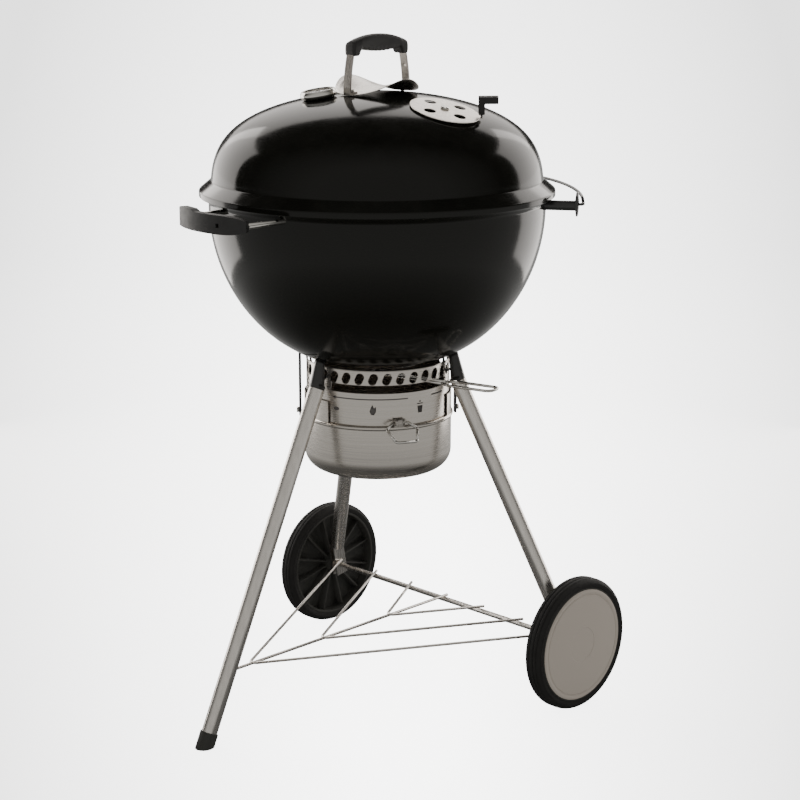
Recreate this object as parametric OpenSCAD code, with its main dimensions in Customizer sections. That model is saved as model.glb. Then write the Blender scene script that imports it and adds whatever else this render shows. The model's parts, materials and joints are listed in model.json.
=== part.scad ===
// Kettle charcoal grill: domed lid and bowl on three tube legs, with an ash bucket,
// grates, lid fittings, side handles, a lid holder, a wire rack and two wheels.
// Millimetres, +Z up. The ground is z = 0 and the front of the grill faces -Y.
// Most shapes are drawn about the bowl's own axis, then moved along X by bowl_x,
// so that the origin lies under the middle of the whole grill.

/* [Kettle] */
// Height of the bowl's widest level above the ground
bowl_h = 820.5; // [780:0.5:860]
// Outer radius of the bowl
bowl_r = 270.8; // [230:0.1:310]
// Depth of the bowl below its widest level
bowl_depth = 260.5; // [220:0.5:280]
// How much narrower the lid's wall is than the bowl
lid_inset = 3.2; // [2:0.1:6]
// Height of the lid's dome above its base level
lid_rise = 189; // [160:1:220]
// How far the lid's lip stands out from the bowl
lip_out = 15; // [13:0.5:20]
// Thickness of the enamelled steel sheet
sheet = 1.2; // [0.8:0.1:2]

/* [Legs and wheels] */
// Diameter of the leg tubes
leg_d = 25.4; // [20:0.1:30]
// Wall of the leg tubes
leg_wall = 1.2; // [1:0.1:2]
// Distance of the single leg's foot from the bowl's axis
foot_reach = 382; // [330:1:430]
// Distance of the legs' tops from the bowl's axis
leg_top_r = 136; // [134:0.5:145]
// Height of the legs' tops
leg_top_h = 540; // [520:1:550]
// Half of the angle between the two wheel legs
leg_spread = 60; // [55:1:65]
// Radius of the wheels, which is the height of the axle
wheel_r = 110.8; // [90:0.1:125]
// Width of the wheels
wheel_w = 34; // [26:1:44]
// Distance of the axle from the bowl's axis
axle_reach = 162.6; // [140:0.1:190]
// Diameter of the axle
axle_d = 9; // [8:0.5:12]
// Distance from the middle plane to the inner face of a wheel
track_half = 281; // [260:1:310]

/* [Ash catcher] */
// Outer radius of the perforated ash ring
ring_r = 117.5; // [105:0.5:119]
// Height of the ash ring
ring_h = 94; // [80:1:110]
// Width of one vent hole in the ash ring
vent_w = 13.5; // [8:0.5:15]
// Height of one vent hole in the ash ring
vent_h = 19.5; // [16:0.5:22]
// Number of vent hole places round the ash ring
vent_count = 33; // [24:1:36]
// Depth of the ash bucket below the ring's lower edge
bucket_depth = 93; // [70:1:120]
// Radius of the bucket's bottom corner
bucket_round = 31; // [12:1:40]
// Distance of the lever's tip from the bowl's axis
lever_reach = 222; // [190:1:250]
// Diameter of the lever and bail wire
wire_d = 5; // [4:0.5:6]

/* [Grates] */
// Depth of the cooking grate below the bowl's widest level
cook_drop = 25; // [15:1:40]
// Height of the charcoal grate above the bowl's bottom
coal_rise = 104; // [85:1:130]
// Radius of the round removable centre of the cooking grate
insert_r = 150; // [110:1:155]
// Distance between the bars of the grates
bar_pitch = 17; // [14:1:25]
// Diameter of the grate bars
bar_d = 5; // [4:0.5:7]

/* [Lid fittings] */
// Distance of the lid handle's feet from the lid's axis
strap_foot = 65; // [60:1:75]
// Half of the length of the lid handle's grip
grip_half = 60; // [57:1:80]
// Height of the lid handle above the lid's top
handle_h = 91; // [75:1:110]
// Depth of the lid handle's grip, front to back
grip_depth = 24; // [22:1:32]
// Radius of the heat shield under the lid handle
shield_r = 66.5; // [62:0.5:67]
// Distance of the damper from the lid's axis
damper_reach = 150; // [140:1:160]
// Radius of the damper disc
damper_r = 55; // [48:1:58]
// Radius of each damper hole
damper_hole_r = 9.5; // [7:0.5:11]
// Distance of the thermometer from the lid's axis
thermo_reach = 96; // [96:1:120]
// Radius of the thermometer's bezel
thermo_r = 29; // [25:0.5:29]

/* [Side handles and lid holder] */
// Distance from the bowl's axis to the outer face of the left handle
side_reach = 360; // [345:1:380]
// Half of the length of the left handle
side_half = 78; // [60:1:95]
// Height of the side handles' grips
side_h = 29; // [24:1:32]
// Distance from the bowl's axis to the outer face of the right handle
right_reach = 312; // [308:1:314]
// Distance from the bowl's axis to the outermost point of the lid holder wire
holder_reach = 329; // [328:0.5:340]

/* [Wire rack] */
// Diameter of the rack's wires
rack_d = 5; // [4:0.5:6]
// Height of the rack's spine where it enters the single leg
rack_leg_h = 113; // [105:1:125]

/* [Clearances] */
// Radial clearance of a turning fit
run_gap = 0.05; // [0.02:0.01:0.1]
// Least gap between pieces that move past each other
move_gap = 0.4; // [0.3:0.1:1]
// Gap between pieces that are fixed side by side
seat_gap = 0.1; // [0.05:0.05:0.3]

/* [Hidden] */
$fn = 64;

// The outline of the lid and the bowl: r = a cos(t)^p, z = b sin(t)^q
LID_P = 1.05;
LID_Q = 0.54;
BOWL_P = 0.868;
BOWL_Q = 1.0425;
DOME_STEPS = 30;

// Lid
lid_r = bowl_r - lid_inset;
lid_h = bowl_h - 6;
lip_r = bowl_r + lip_out;
lip_low = bowl_h + 20.5;
lip_band = 9;
lid_t0 = 5.2;
lid_top = lid_h + lid_rise;

// Bowl rim, which carries the lid on its bead
rim_r = lip_r - 4.8;
rim_foot_h = bowl_h + 11.5;
rim_turn_h = bowl_h + 20;
bead_r = 2.3;
bead_at = rim_r - bead_r;
lid_in_r = (lid_r - sheet) * pow(cos(lid_t0), LID_P);
lid_in_h = lid_h + (lid_rise - sheet) * pow(sin(lid_t0), LID_Q);
lip_slope = (lid_in_h - lip_low - lip_band + sheet / 2) / (lip_r - sheet - lid_in_r);
bead_h = lid_in_h - (bead_at - lid_in_r) * lip_slope - (bead_r + move_gap) / cos(atan(lip_slope));

// How far a wire's bend reaches into its straight bars, in degrees, and how much thinner it is
bend_overlap = 2;
bend_thin = 0.1;

// Widths and places that several pieces share
bowl_low = bowl_h - bowl_depth;
axle_h = wheel_r;
axle_r = axle_d / 2;
leg_r = leg_d / 2;
bore_r = leg_r - leg_wall;
foot_tilt = atan((foot_reach - leg_top_r) / leg_top_h);
foot_wall = 2;
foot_r = leg_r + foot_wall;
foot_cap_h = 24;
holder_wire_d = 5;

// The bowl's axis stands off the middle of the grill by half the difference
// between what reaches out on the left and what reaches out on the right
left_most = foot_reach + foot_r / cos(foot_tilt);
right_most = holder_reach;
bowl_x = (left_most - right_most) / 2;

// Wheel legs: they end above the axle, in shoes that hold it
shoe_top_h = axle_h + 39;
shoe_w = 25;
shoe_t = 13;
shoe_wall = 2.5;
shoe_y = track_half - 1.2 - shoe_t / 2;
wheel_leg_y = shoe_y - 4;
wheel_leg_r = wheel_leg_y / sin(leg_spread);
wheel_leg_x = wheel_leg_y / tan(leg_spread);

// Ends of the leg tubes, each leg drawn in the XZ plane before it is turned into place
leg_top = [leg_top_r, 0, leg_top_h];
foot = [foot_reach, 0, 0];
shoe_end = [wheel_leg_r, 0, shoe_top_h];

// Wheel hubs and the nuts outside them
hub_r = 17;
wheel_recess = 7;
nut_y = track_half + wheel_w - wheel_recess;

// Ash ring and bucket
ring_wall = 1.2;
ring_top = leg_top_h + 34;
ring_low = ring_top - ring_h;
vent_z = ring_top - 14;
vent_tilt = 24;
lever_h = leg_top_h + 3.2;
slot_h = 13.5;
slot_from = -173.5;
slot_to = -67;
lever_turn = -76;
bucket_wall = 1;
bucket_r = ring_r + 2.5 + bucket_wall;
bucket_lip = ring_low + 2;
bucket_low = bucket_lip - bucket_depth;
bucket_back = ring_low + 38;
bail_turn = -118;
bail_h = bucket_lip + 9;

// How far a leg socket leans in, and its narrow upper end
socket_lean = 9.5;
socket_top_h = ring_top + 16;
socket_top_r = 7;

// Straps that hang the bucket under the bowl
strap_turns = [140, -40];
strap_r = bucket_r + 5;
strap_t = 4;
strap_w = 14;
strap_low = ring_low - 4;
pin_h = ring_low + 5;

// Sweeper under the charcoal grate
sweep_shaft_r = 5;
sweep_gap = 1;
blade_t = 1.5;
blade_from = 24;
blade_to = 108;
blade_angle = 26;
slot_vent_w = 26;
slot_vent_from = 38;
slot_vent_to = 102;

// Grates
cook_h = bowl_h - cook_drop;
coal_h = bowl_low + coal_rise;
ring_bar_d = bar_d + 1;
bar_lift = (bar_d + ring_bar_d) / 2 - 1;
bar_tuck = 0.7;
insert_lift = 0.5;
insert_seat = bar_d / 2 - insert_lift + move_gap;
cook_r = bowl_r - sheet - 6.4;
hinge_x = insert_r + 17;
flap_gap = 1.2;

// Lid fittings
shield_t = 1;
shield_crown = 8;
shield_crown_half = 50;
shield_wing = 15;
handle_top = lid_top + handle_h;
strap_in = strap_foot - 15;
bolt_x = strap_foot - 8;
strap_lean = 10;
handle_strap_t = 3;
handle_strap_w = 15;
grip_low = handle_top - 33;
bolt_r = 3;

damper_t = 1.2;
damper_crown = 2;
damper_lift = 0.8;
hole_ring = 33;
rivet_r = 3;
damper_turn = -45;
tab_h = 34;
tab_out = 3;
tab_lean = 12;

thermo_turn = 154;
thermo_h = 13;
dial_h = 6.5;
needle_h = 8.1;

// Side handles
side_low = bowl_h - 4;
side_curve = 186;
side_t = 12;
hump_h = 3.5;
post_d = 9;
post_z = bowl_h + 10;
right_low = bowl_h - 20;
right_half = 55;

// Lid holder: a wire arc hinged in two plates on the ends of short posts
holder_r = 335;
holder_x = holder_reach - holder_wire_d / 2 - holder_r;
holder_tilt = 5.1;
holder_post_d = 16;
plate_turn = 55.5;
plate_reach = 322;
plate_t = 5.5;
plate_h = 38;
plate_w = 15;
pivot = [plate_reach * cos(plate_turn), plate_reach * sin(plate_turn), bowl_h + 11.5];
holder_end = 48;
hook_r = 4;

// Rack
rack_axle_h = axle_h + axle_r + rack_d / 2;
rack_tip_x = axle_reach + 5;
rack_leg_x = 3 - foot_reach + (foot_reach - leg_top_r) / leg_top_h * rack_leg_h;
rack_slope = (rack_axle_h - rack_leg_h) / (axle_reach - rack_leg_x);
arm_angle = 30.6;
arm_starts = [-289, -134, 18];
arm_lift = 1.2;

// ---------------------------------------------------------------- shared shapes

// Points of a quarter outline from angle t0 to t1
function outline(a, b, p, q, t0, t1) =
    [for (i = [0:DOME_STEPS])
        let (t = t0 + (t1 - t0) * i / DOME_STEPS)
        [a * pow(cos(t), p), b * pow(sin(t), q)]];

// The same points turned over and moved to a height
function at_height(points, z, sign) = [for (p = points) [p.x, z + sign * p.y]];

// Height of the lid's outer surface at radius r, and its slope in degrees
function lid_at(r) = lid_h + lid_rise * pow(1 - pow(r / lid_r, 2 / LID_P), LID_Q / 2);
function lid_slope(r) = atan((lid_at(r - 1) - lid_at(r + 1)) / 2);

// Height of the bowl's outer and inner surface at radius r
function bowl_at(r) = bowl_h - bowl_depth * pow(1 - pow(r / bowl_r, 2 / BOWL_P), BOWL_Q / 2);
function bowl_in(r) = bowl_h
    - (bowl_depth - sheet) * pow(1 - pow(r / (bowl_r - sheet), 2 / BOWL_P), BOWL_Q / 2);

// Height of the heat shield's lower face
function shield_at(x, y) = lid_at(abs(x)) + shield_t
    + shield_crown * pow(max(0, 1 - pow(x / shield_crown_half, 2)), 2)
    + shield_wing * pow(y / 70, 2);

function unit(v) = v / norm(v);
function polar(r, turn, z) = [r * cos(turn), r * sin(turn), z];

// A round bar from point a to point b
module rod(a, b, d) {
    v = b - a;
    translate(a)
        rotate([0, acos(v.z / norm(v)), atan2(v.y, v.x)])
            cylinder(h = norm(v), d = d);
}

// One bend of a flat wire: the corner at b of the path a, b, c. It reaches a little way
// into the straight bars on both sides, and is a hair thinner than they are.
module bend(a, b, c, bend_r, d) {
    u = unit(a - b);
    w = unit(c - b);
    half = acos(u * w) / 2;
    centre = b + unit(u + w) * bend_r / sin(half);
    start = b + u * bend_r / tan(half) - centre;
    sweep = 180 - 2 * half;
    back = u.x * w.y - u.y * w.x > 0 ? sweep : 0;
    translate([centre.x, centre.y, 0])
        rotate([0, 0, atan2(start.y, start.x) - back - bend_overlap])
            rotate_extrude(angle = sweep + 2 * bend_overlap)
                translate([bend_r, 0])
                    circle(d = d - bend_thin);
}

// A wire bent in the XY plane along a path of points, open or closed
module flat_wire(path, bend_r, d, closed = false) {
    n = len(path);
    // Length that the bend at corner i takes from each side
    function trim(i) =
        let (a = path[(i + n - 1) % n], b = path[i % n], c = path[(i + 1) % n])
        bend_r / tan(acos(unit(a - b) * unit(c - b)) / 2);
    last = closed ? n - 1 : n - 2;
    for (i = [0:last]) {
        a = path[i];
        b = path[(i + 1) % n];
        from = (i == 0 && !closed) ? a : a + unit(b - a) * trim(i);
        to = (i == last && !closed) ? b : b - unit(b - a) * trim(i + 1);
        rod([from.x, from.y, 0], [to.x, to.y, 0], d);
    }
    for (i = [(closed ? 0 : 1):(closed ? n - 1 : n - 2)])
        bend(path[(i + n - 1) % n], path[i], path[(i + 1) % n], bend_r, d);
}

// A rectangle with round ends, standing on its middle
module round_slot(w, h) {
    square([w, h - w], center = true);
    for (s = [-1, 1])
        translate([0, s * (h - w) / 2])
            circle(d = w);
}

// The space inside the bowl's outer surface, to shape what meets it
module bowl_solid() {
    rotate_extrude()
        polygon(concat(
            at_height(outline(bowl_r, bowl_depth, BOWL_P, BOWL_Q, 90, 0), bowl_h, -1),
            [[bowl_r, rim_foot_h], [rim_r, rim_turn_h], [rim_r, rim_turn_h + 5], [0, rim_turn_h + 5]]));
}

// Puts its children on the lid's surface, with +Z along the surface's outward normal
module on_lid(reach, turn) {
    rotate([0, 0, turn])
        translate([reach, 0, lid_at(reach)])
            rotate([0, lid_slope(reach), 0])
                children();
}

module about_bowl() {
    translate([bowl_x, 0, 0])
        children();
}

// ---------------------------------------------------------------- kettle

module bowl() {
    outer = at_height(outline(bowl_r, bowl_depth, BOWL_P, BOWL_Q, 90, 0), bowl_h, -1);
    inner = at_height(outline(bowl_r - sheet, bowl_depth - sheet, BOWL_P, BOWL_Q, 0, 90), bowl_h, -1);
    color("#16160f")
        about_bowl()
            difference() {
                union() {
                    rotate_extrude()
                        polygon(concat(
                            outer,
                            [[bowl_r, rim_foot_h], [rim_r, rim_turn_h], [rim_r, bead_h],
                             [rim_r - sheet, bead_h], [rim_r - sheet, rim_turn_h + sheet / 2],
                             [bowl_r - sheet, rim_foot_h + sheet / 2]],
                            inner));
                    rotate_extrude()
                        translate([bead_at, bead_h])
                            circle(r = bead_r);
                }
                for (k = [0:2])
                    rotate([0, 0, 120 * k])
                        translate([(slot_vent_from + slot_vent_to) / 2, 0, bowl_low - 5])
                            linear_extrude(60)
                                rotate(90)
                                    round_slot(slot_vent_w, slot_vent_to - slot_vent_from);
                translate([0, 0, bowl_low - 5])
                    cylinder(r = sweep_shaft_r + run_gap, h = 30);
            }
}

module lid() {
    outer = at_height(outline(lid_r, lid_rise, LID_P, LID_Q, lid_t0, 90), lid_h, 1);
    inner = at_height(outline(lid_r - sheet, lid_rise - sheet, LID_P, LID_Q, 90, lid_t0), lid_h, 1);
    color("#16160f")
        about_bowl()
            difference() {
                rotate_extrude()
                    polygon(concat(
                        [[lip_r, lip_low], [lip_r, lip_low + lip_band]],
                        outer,
                        inner,
                        [[lip_r - sheet, lip_low + lip_band - sheet / 2], [lip_r - sheet, lip_low]]));
                on_lid(damper_reach, -90)
                    for (k = [0:3])
                        rotate([0, 0, 90 * k])
                            translate([hole_ring, 0, -25])
                                cylinder(r = damper_hole_r, h = 30);
                on_lid(damper_reach, -90)
                    translate([0, 0, -10])
                        cylinder(r = rivet_r, h = 20);
                on_lid(thermo_reach, thermo_turn)
                    translate([0, 0, -15])
                        cylinder(r = 4, h = 30);
                for (s = [-1, 1])
                    translate([s * bolt_x, 0, lid_top - 30])
                        cylinder(r = bolt_r, h = 50);
            }
}

// ---------------------------------------------------------------- lid handle

// Outline of one handle strap in the XZ plane, with a foot turned inward
module strap_outline(grow = 0) {
    t = handle_strap_t / 2 + grow;
    z0 = shield_at(strap_foot, 7) + shield_t;
    z1 = grip_low + 12;
    steps = 10;
    function centre(i) = [strap_foot - strap_lean * pow(i / steps, 1.8), z0 + (z1 - z0) * i / steps];
    polygon(concat(
        [for (i = [0:steps]) centre(i) + [t, 0]],
        [for (i = [steps:-1:1]) centre(i) - [t, 0]],
        [[strap_foot - t, z0 + handle_strap_t],
         [strap_in, shield_at(strap_in, 7) + shield_t + handle_strap_t],
         [strap_in, shield_at(strap_in, 7) + shield_t]]));
}

module lid_handle_straps() {
    color("#8c8680")
        about_bowl()
            for (s = [0, 1])
                mirror([s, 0, 0])
                    difference() {
                        translate([0, handle_strap_w / 2, 0])
                            rotate([90, 0, 0])
                                linear_extrude(handle_strap_w)
                                    strap_outline();
                        translate([bolt_x, 0, lid_top - 20])
                            cylinder(r = bolt_r + seat_gap, h = 60);
                    }
}

// Height of the grip's top and bottom edges, u from -1 to 1 along its length
function grip_top(u) = handle_top - 12 * pow(abs(u), 2.2);
function grip_bottom(u) =
    abs(u) > 0.74 ? grip_low : grip_low + 5 + 6 * pow(abs(u) / 0.74, 2);

module lid_handle_grip() {
    steps = 16;
    color("#2b2a28")
        about_bowl()
            difference() {
                translate([0, grip_depth / 2, 0])
                    rotate([90, 0, 0])
                        linear_extrude(grip_depth)
                            polygon(concat(
                                [for (i = [-steps:steps]) let (u = i / steps) [grip_half * u, grip_top(u)]],
                                [for (i = [steps:-1:-steps]) let (u = i / steps) [grip_half * u, grip_bottom(u)]]));
                for (s = [0, 1])
                    mirror([s, 0, 0])
                        translate([0, handle_strap_w / 2 + seat_gap, 0])
                            rotate([90, 0, 0])
                                linear_extrude(handle_strap_w + 2 * seat_gap)
                                    intersection() {
                                        translate([0, seat_gap])
                                            strap_outline(seat_gap);
                                        translate([0, grip_low - 1])
                                            square([200, 100]);
                                    }
            }
}

// A saddle of thin sheet: crowned along the handle, with wings that rise front and back
module heat_shield() {
    rings = 7;
    sides = 48;
    function spot(k, j, up) =
        let (x = shield_r * k / rings * cos(360 * j / sides), y = shield_r * k / rings * sin(360 * j / sides))
        [x, y, shield_at(x, y) + up];
    function index(k, j) = k == 0 ? 0 : 1 + (k - 1) * sides + j % sides;
    layer = concat([spot(0, 0, 0)], [for (k = [1:rings], j = [0:sides - 1]) spot(k, j, 0)]);
    count = len(layer);
    points = concat(layer, [for (p = layer) p + [0, 0, shield_t]]);
    fan = [for (j = [0:sides - 1]) [index(1, j), 0, index(1, j + 1)]];
    inner = concat(
        [for (k = [1:rings - 1], j = [0:sides - 1]) [index(k, j), index(k, j + 1), index(k + 1, j)]],
        [for (k = [1:rings - 1], j = [0:sides - 1]) [index(k, j + 1), index(k + 1, j + 1), index(k + 1, j)]]);
    below = concat([for (f = fan) [f[2], f[1], f[0]]], inner);
    above = [for (f = below) [f[2] + count, f[1] + count, f[0] + count]];
    edge = concat(
        [for (j = [0:sides - 1]) [index(rings, j), index(rings, j + 1), index(rings, j) + count]],
        [for (j = [0:sides - 1])
            [index(rings, j + 1), index(rings, j + 1) + count, index(rings, j) + count]]);
    color("#b9b4ae")
        about_bowl()
            difference() {
                polyhedron(points = points, faces = concat(below, above, edge));
                for (s = [-1, 1])
                    translate([s * bolt_x, 0, lid_top - 20])
                        cylinder(r = bolt_r + seat_gap, h = 60);
            }
}

module handle_bolts() {
    seat = shield_at(strap_in, 7) + shield_t + handle_strap_t;
    color("silver")
        about_bowl()
            for (s = [-1, 1])
                translate([s * bolt_x, 0, 0]) {
                    translate([0, 0, seat])
                        cylinder(r = 5.5, h = 3.5);
                    translate([0, 0, lid_at(bolt_x) - sheet - 9])
                        cylinder(r = bolt_r - run_gap, h = seat - lid_at(bolt_x) + sheet + 9.5);
                    translate([0, 0, lid_at(bolt_x) - sheet - 7])
                        cylinder(r = 6, h = 5);
                }
}

// ---------------------------------------------------------------- damper

module damper() {
    steps = 8;
    function dish(i) = damper_lift - damper_crown * pow(i / steps, 2);
    color("#c9c4bd")
        about_bowl()
            on_lid(damper_reach, -90)
                difference() {
                    union() {
                        rotate_extrude()
                            polygon(concat(
                                [for (i = [0:steps]) [damper_r * i / steps, dish(i) + move_gap]],
                                [for (i = [steps:-1:0]) [damper_r * i / steps, dish(i) + move_gap + damper_t]]));
                        on_tab()
                            translate([-1.5, -4, 0])
                                cube([3, 8, tab_h - 5]);
                        rotate([0, 0, damper_turn + 90])
                            translate([damper_r - 5, -5, dish(steps) + move_gap])
                                cube([tab_out + 6.5, 10, damper_t]);
                    }
                    for (k = [0:3])
                        rotate([0, 0, 90 * k])
                            translate([hole_ring, 0, -5])
                                cylinder(r = damper_hole_r, h = 12);
                    translate([0, 0, -5])
                        cylinder(r = rivet_r + run_gap, h = 12);
                }
}

// Puts its children at the foot of the damper's tab, which leans back a little
module on_tab() {
    rotate([0, 0, damper_turn + 90])
        translate([damper_r + tab_out, 0, damper_lift - damper_crown + move_gap + 0.2])
            rotate([0, -tab_lean, 0])
                children();
}

// Bent sleeve over the damper's upright tab
module damper_grip() {
    base = 6;
    color("#2b2a28")
        about_bowl()
            on_lid(damper_reach, -90)
                on_tab()
                    difference() {
                        union() {
                            translate([-5, -5.5, base])
                                cube([10, 11, tab_h - base]);
                            translate([0, -5.5, tab_h - 11])
                                cube([26, 11, 11]);
                        }
                        translate([-1.5 - seat_gap, -4 - seat_gap, base - 1])
                            cube([3 + 2 * seat_gap, 8 + 2 * seat_gap, tab_h - base - 4 + seat_gap]);
                    }
}

module damper_rivet() {
    head = damper_lift + damper_t + 2 * move_gap;
    color("silver")
        about_bowl()
            on_lid(damper_reach, -90) {
                translate([0, 0, -4])
                    cylinder(r = rivet_r, h = head + 5);
                translate([0, 0, head])
                    cylinder(r = 7, h = 2.5);
                translate([0, 0, -sheet - 4.5])
                    cylinder(r = 6, h = 4);
            }
}

// ---------------------------------------------------------------- thermometer

module thermometer_bezel() {
    wall = 2;
    color("silver")
        about_bowl()
            on_lid(thermo_reach, thermo_turn)
                difference() {
                    rotate_extrude()
                        polygon([[thermo_r - 4, 0.2], [thermo_r - 2, 1.5], [thermo_r, 4],
                                 [thermo_r, thermo_h - 4], [thermo_r - 2.5, thermo_h],
                                 [thermo_r - 5, thermo_h], [thermo_r - 5, thermo_h - 3],
                                 [thermo_r - wall, thermo_h - 4.5], [thermo_r - wall, dial_h],
                                 [3, dial_h - 1.5], [3, dial_h - 3], [0, dial_h - 3], [0, 3], [3, 3], [3, 0.2]]);
                    translate([0, 0, -1])
                        cylinder(r = 3, h = 8);
                }
}

module thermometer_dial() {
    color("white")
        about_bowl()
            on_lid(thermo_reach, thermo_turn)
                difference() {
                    translate([0, 0, dial_h])
                        cylinder(r = thermo_r - 2.2, h = 1);
                    translate([0, 0, dial_h - 1])
                        cylinder(r = 1.2 + run_gap, h = 4);
                }
}

module thermometer_needle() {
    color("#b0301c")
        about_bowl()
            on_lid(thermo_reach, thermo_turn) {
                translate([0, 0, needle_h - 2])
                    cylinder(r = 1.2, h = 2.4);
                translate([-5, -0.8, needle_h - 0.2])
                    cube([23, 1.6, 0.6]);
            }
}

module thermometer_glass() {
    color([0.9, 0.95, 0.95, 0.4])
        about_bowl()
            on_lid(thermo_reach, thermo_turn)
                translate([0, 0, thermo_h - 3.4])
                    cylinder(r = thermo_r - 5.2, h = 1.6);
}

module thermometer_probe() {
    color("silver")
        about_bowl()
            on_lid(thermo_reach, thermo_turn) {
                translate([0, 0, -42])
                    cylinder(r = 2.2, h = 44);
                translate([0, 0, -sheet - 5.8])
                    cylinder(r = 7, h = 4.5);
                translate([0, 0, 1.9])
                    cylinder(r = 2.9, h = 3);
            }
}

// ---------------------------------------------------------------- side handles

// A curved board, its outer face at the given reach and bulging outward
module side_grip(reach, half, low, height) {
    turn = asin(half / side_curve);
    translate([reach - side_curve, 0, 0])
        rotate([0, 0, -turn])
            rotate_extrude(angle = 2 * turn)
                translate([side_curve - side_t, low])
                    square([side_t, height]);
}

// Two rods from the bowl to the back of a side grip
module standoffs(reach, half, z) {
    y = half * 0.88;
    back = reach - side_curve + sqrt(pow(side_curve - side_t, 2) - y * y);
    for (s = [-1, 1])
        difference() {
            rod([bowl_r * 0.8, s * y, z], [back + 1, s * y, z], post_d);
            bowl_solid();
            translate([reach - side_curve, 0, z - 20])
                difference() {
                    cylinder(r = side_curve + 20, h = 40);
                    translate([0, 0, -1])
                        cylinder(r = side_curve - side_t, h = 42);
                }
        }
}

module left_handle_grip() {
    hump_from = 9;
    hump_to = 22;
    color("#2b2a28")
        about_bowl()
            rotate([0, 0, 180])
                difference() {
                    union() {
                        side_grip(side_reach, side_half, side_low, side_h);
                        translate([side_reach - side_curve, 0, 0])
                            rotate([0, 0, -hump_to])
                                rotate_extrude(angle = hump_to - hump_from)
                                    translate([side_curve - side_t, side_low + 5])
                                        square([side_t, side_h + hump_h - 5]);
                    }
                    translate([side_reach - side_curve, 0, side_low + side_h * 0.45])
                        rotate([0, 0, -9])
                            translate([side_curve - 20, -3, -3])
                                cube([30, 6, 6]);
                }
}

module right_handle_grip() {
    color("#2b2a28")
        about_bowl()
            side_grip(right_reach, right_half, right_low, side_h - 2);
}

module handle_standoffs() {
    color("silver")
        about_bowl() {
            rotate([0, 0, 180])
                standoffs(side_reach, side_half, post_z);
            standoffs(right_reach, right_half, right_low + side_h / 2);
        }
}

// ---------------------------------------------------------------- lid holder

// The arc between its two ends, hooked inward onto the pivot line at both
module lid_holder_wire() {
    centre = holder_x - pivot.x;
    function arc_at(turn) = [centre + holder_r * cos(turn), holder_r * sin(turn)];
    arc_end = arc_at(holder_end);
    corner = [0, arc_end.y + arc_end.x / tan(holder_end)];
    pin_in = pivot.y - plate_t * 0.6 - 6;
    color("#3a3733")
        about_bowl()
            translate([pivot.x, 0, pivot.z])
                rotate([0, -holder_tilt, 0]) {
                    translate([centre, 0, 0])
                        rotate([0, 0, -holder_end])
                            rotate_extrude(angle = 2 * holder_end)
                                translate([holder_r, 0])
                                    circle(d = holder_wire_d);
                    for (s = [0, 1])
                        mirror([0, s, 0])
                            flat_wire([arc_at(holder_end - 1), corner, [0, pin_in]], hook_r, holder_wire_d - 0.2);
                }
}

module lid_holder_plates() {
    color("#2b2a28")
        about_bowl()
            for (s = [0, 1])
                mirror([0, s, 0])
                    difference() {
                        translate([0, 0, pivot.z])
                            rotate([0, 0, -plate_turn])
                                translate([plate_reach, plate_w / 2, 0])
                                    rotate([90, 0, 0])
                                        linear_extrude(plate_w)
                                            polygon([[-plate_t / 2, -plate_h * 0.15], [-1, -plate_h / 2],
                                                     [1.5, -plate_h / 2], [plate_t / 2, -plate_h * 0.15],
                                                     [plate_t / 2, plate_h * 0.15], [1.5, plate_h / 2],
                                                     [-1, plate_h / 2], [-plate_t / 2, plate_h * 0.15]]);
                        translate([pivot.x, 0, pivot.z])
                            rotate([90, 0, 0])
                                cylinder(d = holder_wire_d - 0.2 + 2 * run_gap, h = 2 * plate_reach);
                    }
}

module lid_holder_posts() {
    end_r = plate_reach - plate_t / 2;
    color("#3a3733")
        about_bowl()
            for (s = [0, 1])
                mirror([0, s, 0])
                    difference() {
                        rotate([0, 0, -plate_turn])
                            rod([bowl_r * 0.8, 0, bowl_h + 8.7], [end_r, 0, bowl_h + 8.7], holder_post_d);
                        bowl_solid();
                        translate([pivot.x, 0, pivot.z])
                            rotate([90, 0, 0])
                                cylinder(d = holder_wire_d + 2, h = 2 * plate_reach);
                    }
}

// ---------------------------------------------------------------- ash catcher

module ash_ring() {
    slot_span = slot_to - slot_from;
    color("#9a948c")
        about_bowl()
            difference() {
                translate([0, 0, ring_low])
                    cylinder(r = ring_r, h = ring_h);
                translate([0, 0, ring_low - 1])
                    cylinder(r = ring_r - ring_wall, h = ring_h + 2);
                for (k = [0:vent_count - 1])
                    rotate([0, 0, -72.3 + k * 360 / vent_count])
                        translate([ring_r - 6, 0, vent_z])
                            rotate([90, 0, 90])
                                linear_extrude(12)
                                    rotate(-vent_tilt)
                                        round_slot(vent_w, vent_h);
                rotate([0, 0, slot_from])
                    rotate_extrude(angle = slot_span)
                        translate([ring_r - 4, lever_h - slot_h / 2])
                            square([8, slot_h]);
            }
}

// Small tabs between the ring and the leg sockets
module ring_brackets() {
    low = ring_top - 18;
    socket_r = leg_top_r - socket_lean * (low - leg_top_h) / (socket_top_h - leg_top_h);
    color("#1d1c1a")
        about_bowl()
            for (turn = [180, leg_spread, -leg_spread])
                rotate([0, 0, turn])
                    difference() {
                        translate([ring_r - 2, -7, low])
                            cube([socket_r - ring_r - 9, 14, 3]);
                        cylinder(r = ring_r + 2 * seat_gap, h = 2 * leg_top_h);
                    }
}

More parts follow.
